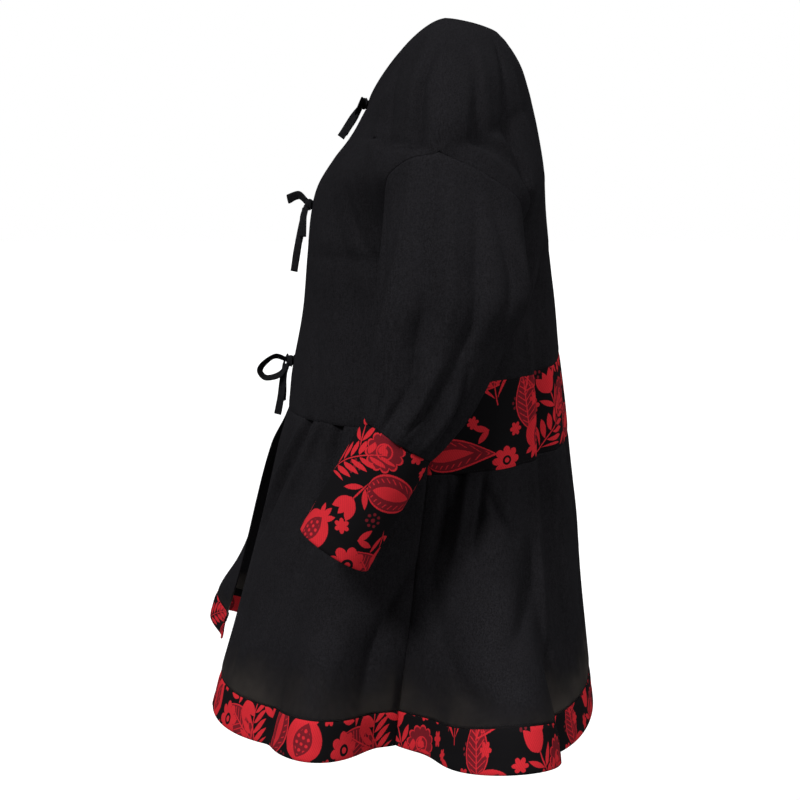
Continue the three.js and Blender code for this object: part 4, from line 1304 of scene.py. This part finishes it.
def print_tone(g, place):
    """Tone of the whole repeat: 0 is the ground, 1 dark red and 2 red."""
    groups = {kind: motif_group(kind) for kind in MOTIFS}
    half = (TILE[0] / 2, TILE[1] / 2, 1000.0)
    tone = None
    for kind, x, y, turn, size in LAYOUT:
        if tone is not None:
            # One motif after the other, so that few values are held at a time
            place = place.vector("ADD", g.wire("ShaderNodeCombineXYZ", {2: tone}))
        moved = place.vector("SUBTRACT", (x, y, 0)).vector("WRAP", half, tuple(-h for h in half))
        sized = g.spin(moved, turn).vector("MULTIPLY", (1 / size, 1 / size, 0))
        found = g.wire("ShaderNodeGroup", node_tree=groups[kind])
        g.put(found.socket.node.inputs[0], sized)
        tone = found if tone is None else tone.by("MAXIMUM", found)
    return tone


def new_material(name):
    """A material, its graph, and the socket that its surface goes to."""
    material = bpy.data.materials.new(name)
    material.use_nodes = True
    material.node_tree.nodes.clear()
    g = Graph(material.node_tree)
    return material, g, g.node("ShaderNodeOutputMaterial").inputs["Surface"]


# Colours
BLACK, BLACK_LIGHT = (0.0058, 0.0055, 0.0062, 1), (0.0150, 0.0144, 0.0164, 1)
TIE_BLACK, TIE_LIGHT = (0.005, 0.005, 0.006, 1), (0.014, 0.014, 0.015, 1)
COTTON_BLACK, DARK_RED = (0.0062, 0.0058, 0.0064, 1), (0.150, 0.011, 0.017, 1)
RED, RED_WORN = (0.60, 0.024, 0.033, 1), (0.30, 0.013, 0.019, 1)
THREAD_BLACK, THREAD_LIGHT = (0.012, 0.012, 0.014, 1), (0.03, 0.03, 0.034, 1)
SHEEN_TINT, THROUGH = (0.75, 0.78, 0.9, 1), (0.62, 0.58, 0.54, 1)
FLOOR_DULL, FLOOR, FLOOR_LIGHT = (0.28, 0.28, 0.28, 1), (0.99, 0.99, 0.99, 1), (1.0, 1.0, 1.0, 1)
# Share of light let through high on the garment and near the hem, and the heights between
SHEER, SHEER_TOP, SHEER_FULL, SHEER_UNEVEN = (0.02, 0.56), -0.635, -0.705, 0.10
NOT_SHEER = (0.0, 0.0)
# The print's size on the cloth, and its hatching lines
PRINT_SCALE, HATCH = 1.4, (2.6, 1.5, 0)
# Noise of the crepe: scales of its grain, pebbles, clouds and yarn, per metre
GRAIN, PEBBLE, CLOUDS, YARN = 1300.0, 760.0, 14.0, 700.0
# Threads of the plain weave, and how far the print strays from its outline
WEAVE_PITCH, STRAY = 0.9, 1.1
CLOTH_SHEEN = 0.006


def principled(g, color, normal, roughness, sheen=0.0):
    return g.wire("ShaderNodeBsdfPrincipled", {
        "Base Color": color, "Normal": normal, "Roughness": roughness,
        "Sheen Weight": sheen, "Sheen Roughness": 0.5, "Sheen Tint": SHEEN_TINT,
        "IOR": 1.12, "Specular IOR Level": 0.05,
    })


def weave(cloth, pitch):
    """Height of a plain weave of the given pitch in millimetres."""
    across, along, _ = cloth.split()
    return (across * (FULL_TURN / pitch)).by("SINE") * (along * (FULL_TURN / pitch)).by("SINE")


def crepe_material(name, base, light, sheer):
    """Matte black crepe: pebbled grain, faint streaks of yarn, sheer where one layer hangs."""
    material, g, surface = new_material(name)
    spot = g.object_place()
    grain = g.noise(spot, GRAIN, 1.0)
    pebble = g.noise(spot, PEBBLE, 1.5, 0.55)
    cloudy = g.noise(spot, CLOUDS, 3.0, 0.55)
    yarn = g.noise(spot.vector("MULTIPLY", (1.0, 1.0, 0.06)), YARN, 2.0, 0.6)
    tone = pebble.scaled(2.4, -0.95) + cloudy.scaled(0.5, -0.25)
    tone = tone.by("ADD", yarn.scaled(0.9, -0.2), clamp=True)
    color = g.mix(tone, base, light)
    height = grain * 0.3 + pebble * 0.6 + yarn * 0.1
    skin = principled(g, color, g.bump(height, 0.8, 0.0003), 0.9, CLOTH_SHEEN)
    through = g.wire("ShaderNodeBsdfTranslucent", {"Color": THROUGH})
    low = g.wire("ShaderNodeMapRange", {
        "Value": cloudy.scaled(SHEER_UNEVEN, spot.split()[2]),
        "From Min": SHEER_TOP, "From Max": SHEER_FULL, "To Min": sheer[0], "To Max": sheer[1],
    })
    g.put(surface, g.wire("ShaderNodeMixShader", {0: low, 1: skin, 2: through}))
    return material


def print_material():
    """Black cotton with a two-tone red floral print, in plain weave."""
    material, g, surface = new_material("printed_cotton")
    cloth = g.wire("ShaderNodeUVMap", uv_map="cloth").vector("MULTIPLY", (1000, 1000, 0))
    fray = g.noise(cloth, 0.9, out="Color").vector("SUBTRACT", (0.5, 0.5, 0.5))
    place = cloth.vector("ADD", fray.vector("MULTIPLY", (STRAY, STRAY, 0)))
    tone = print_tone(g, place.vector("MULTIPLY", (1 / PRINT_SCALE, 1 / PRINT_SCALE, 0)))
    dark = tone.by("MINIMUM", 1.0)
    red = tone.by("SUBTRACT", 1.0, clamp=True)
    thread = weave(cloth, WEAVE_PITCH)
    speckle = g.noise(cloth, 1.3, 3.0, 0.7)
    hatch = cloth.vector("DOT_PRODUCT", HATCH).by("SINE").scaled(0.16, speckle * 1.25)
    bright = g.mix(thread.scaled(0.18, hatch, clamp=True), RED_WORN, RED)
    color = g.mix(dark * 0.92, COTTON_BLACK, DARK_RED)
    color = g.mix(red * 0.97, color, bright)
    height = thread * 0.5 + speckle + red * 0.25
    g.put(surface, principled(g, color, g.bump(height, 0.3, 0.0002), 0.85, CLOTH_SHEEN))
    return material


def thread_material():
    """Black polyester sewing thread with a fine twist."""
    material, g, surface = new_material("thread")
    twist = g.noise(g.object_place(), 2400.0)
    color = g.mix(twist, THREAD_BLACK, THREAD_LIGHT)
    g.put(surface, principled(g, color, g.bump(twist, 0.4, 0.0002), 0.55))
    return material


def floor_material():
    """Nearly white to the camera, duller to light that bounces onto the cloth."""
    material, g, surface = new_material("pale_floor")
    color = g.mix(g.noise(g.object_place(), 3.0), FLOOR, FLOOR_LIGHT)
    seen = g.wire("ShaderNodeLightPath", out="Is Camera Ray")
    color = g.mix(seen, FLOOR_DULL, color)
    g.put(surface, g.wire("ShaderNodeBsdfDiffuse", {"Color": color}))
    return material


# Flat cut of each piece, seam allowances included: width and length in metres, and area
SHEETS = {
    "bodice_front_left": ((0.33, 0.53), 0.125),
    "bodice_front_right": ((0.33, 0.53), 0.125),
    "skirt_front_left": ((0.44, 0.34), 0.112),
    "skirt_front_right": ((0.44, 0.34), 0.109),
    "hem_band_front_left": ((0.44, 0.058), 0.0245),
    "hem_band_front_right": ((0.44, 0.058), 0.0240),
    "bodice_back": ((0.62, 0.49), 0.225),
    "waist_band_back": ((0.66, 0.128), 0.078),
    "skirt_back": ((1.04, 0.32), 0.245),
    "hem_band_back": ((1.20, 0.058), 0.067),
    "sleeve_left": ((0.48, 0.36), 0.118),
    "sleeve_right": ((0.48, 0.36), 0.118),
    "cuff_left": ((0.26, 0.158), 0.0405),
    "cuff_right": ((0.26, 0.158), 0.0405),
}
SLOT_OF = {
    "cuff": "printed_cotton", "hem": "printed_cotton", "waist": "printed_cotton", "bow": "tie",
}


def build():
    crepe = crepe_material("crepe", BLACK, BLACK_LIGHT, SHEER)
    tie = crepe_material("tie_crepe", TIE_BLACK, TIE_LIGHT, NOT_SHEER)
    thread = thread_material()
    looks = {"crepe": [crepe, thread], "print": [print_material(), thread], "tie": [tie]}
    made = panel_pieces(looks)
    for side, word in SIDES:
        for name, piece_of in ((f"sleeve_{word}", sleeve_piece), (f"cuff_{word}", cuff_piece)):
            made[name] = piece_of(name, side, looks)
    for name in BOWS:
        made[name] = bow_piece(name, looks)
    for node, piece in made.items():
        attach(piece, "root")
        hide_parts(node)
        SLOT_OF.get(node.split("_")[0], "crepe")
    ties = [made[name] for name in BOWS]
    for node, (flat, area) in SHEETS.items():
        with_pieces = ties if node == "bodice_front_left" else []


# Stage: floor, studio light and the photograph's camera
FLOOR_HALF, FLOOR_DROP = 30.0, 0.62
CAMERA_AT, CAMERA_PITCH = (2.0, -0.045, -0.173), 7.5
CAMERA_LENS, CAMERA_SENSOR, CAMERA_NEAR = 76.5, 36.0, 0.05
AMBIENT = 0.12
# Broad soft lights: name, height and turn in degrees, strength, spread
SUNS = [
    ("key", 43, 51, 2.7, 12),
    ("top", 70, 75, 1.2, 40),
    ("back_light", 30, 148, 1.3, 40),
]


def facing(direction):
    """Rotation that looks along a direction."""
    return direction.to_track_quat("-Z", "Y").to_euler()


def stage():
    mesh = bpy.data.meshes.new("floor")
    far, low = FLOOR_HALF, cad_low[2] - FLOOR_DROP
    corners = [(-far, -far, low), (far, -far, low), (far, far, low), (-far, far, low)]
    mesh.from_pydata(corners, [], [(0, 1, 2, 3)])
    mesh.materials.append(floor_material())
    floor = placed_object("floor", mesh)

    world = bpy.data.worlds.new("studio")
    world.use_nodes = True
    g = Graph(world.node_tree)
    back = world.node_tree.nodes["Background"]
    seen = g.wire("ShaderNodeLightPath", out="Is Camera Ray")
    back.inputs[0].default_value = (1, 1, 1, 1)
    g.put(back.inputs[1], seen.scaled(1 - AMBIENT, AMBIENT))
    bpy.context.scene.world = world
    bpy.context.scene.view_settings.view_transform = "Standard"
    for name, height, turn, strength, spread in SUNS:
        data = bpy.data.lights.new(name, "SUN")
        data.energy, data.angle = strength, math.radians(spread)
        a, e = math.radians(turn), math.radians(height)
        out = Vector((math.sin(a) * math.cos(e), -math.cos(a) * math.cos(e), math.sin(e)))
        placed_object(name, data).rotation_euler = facing(-out)

    data = bpy.data.cameras.new("camera")
    data.lens, data.sensor_width, data.clip_start = CAMERA_LENS, CAMERA_SENSOR, CAMERA_NEAR
    camera = placed_object("camera", data)
    pitch = math.radians(CAMERA_PITCH)
    camera.location = CAMERA_AT
    camera.rotation_euler = facing(Vector((-math.cos(pitch), 0, -math.sin(pitch))))
    bpy.context.scene.camera = camera


build()
stage()
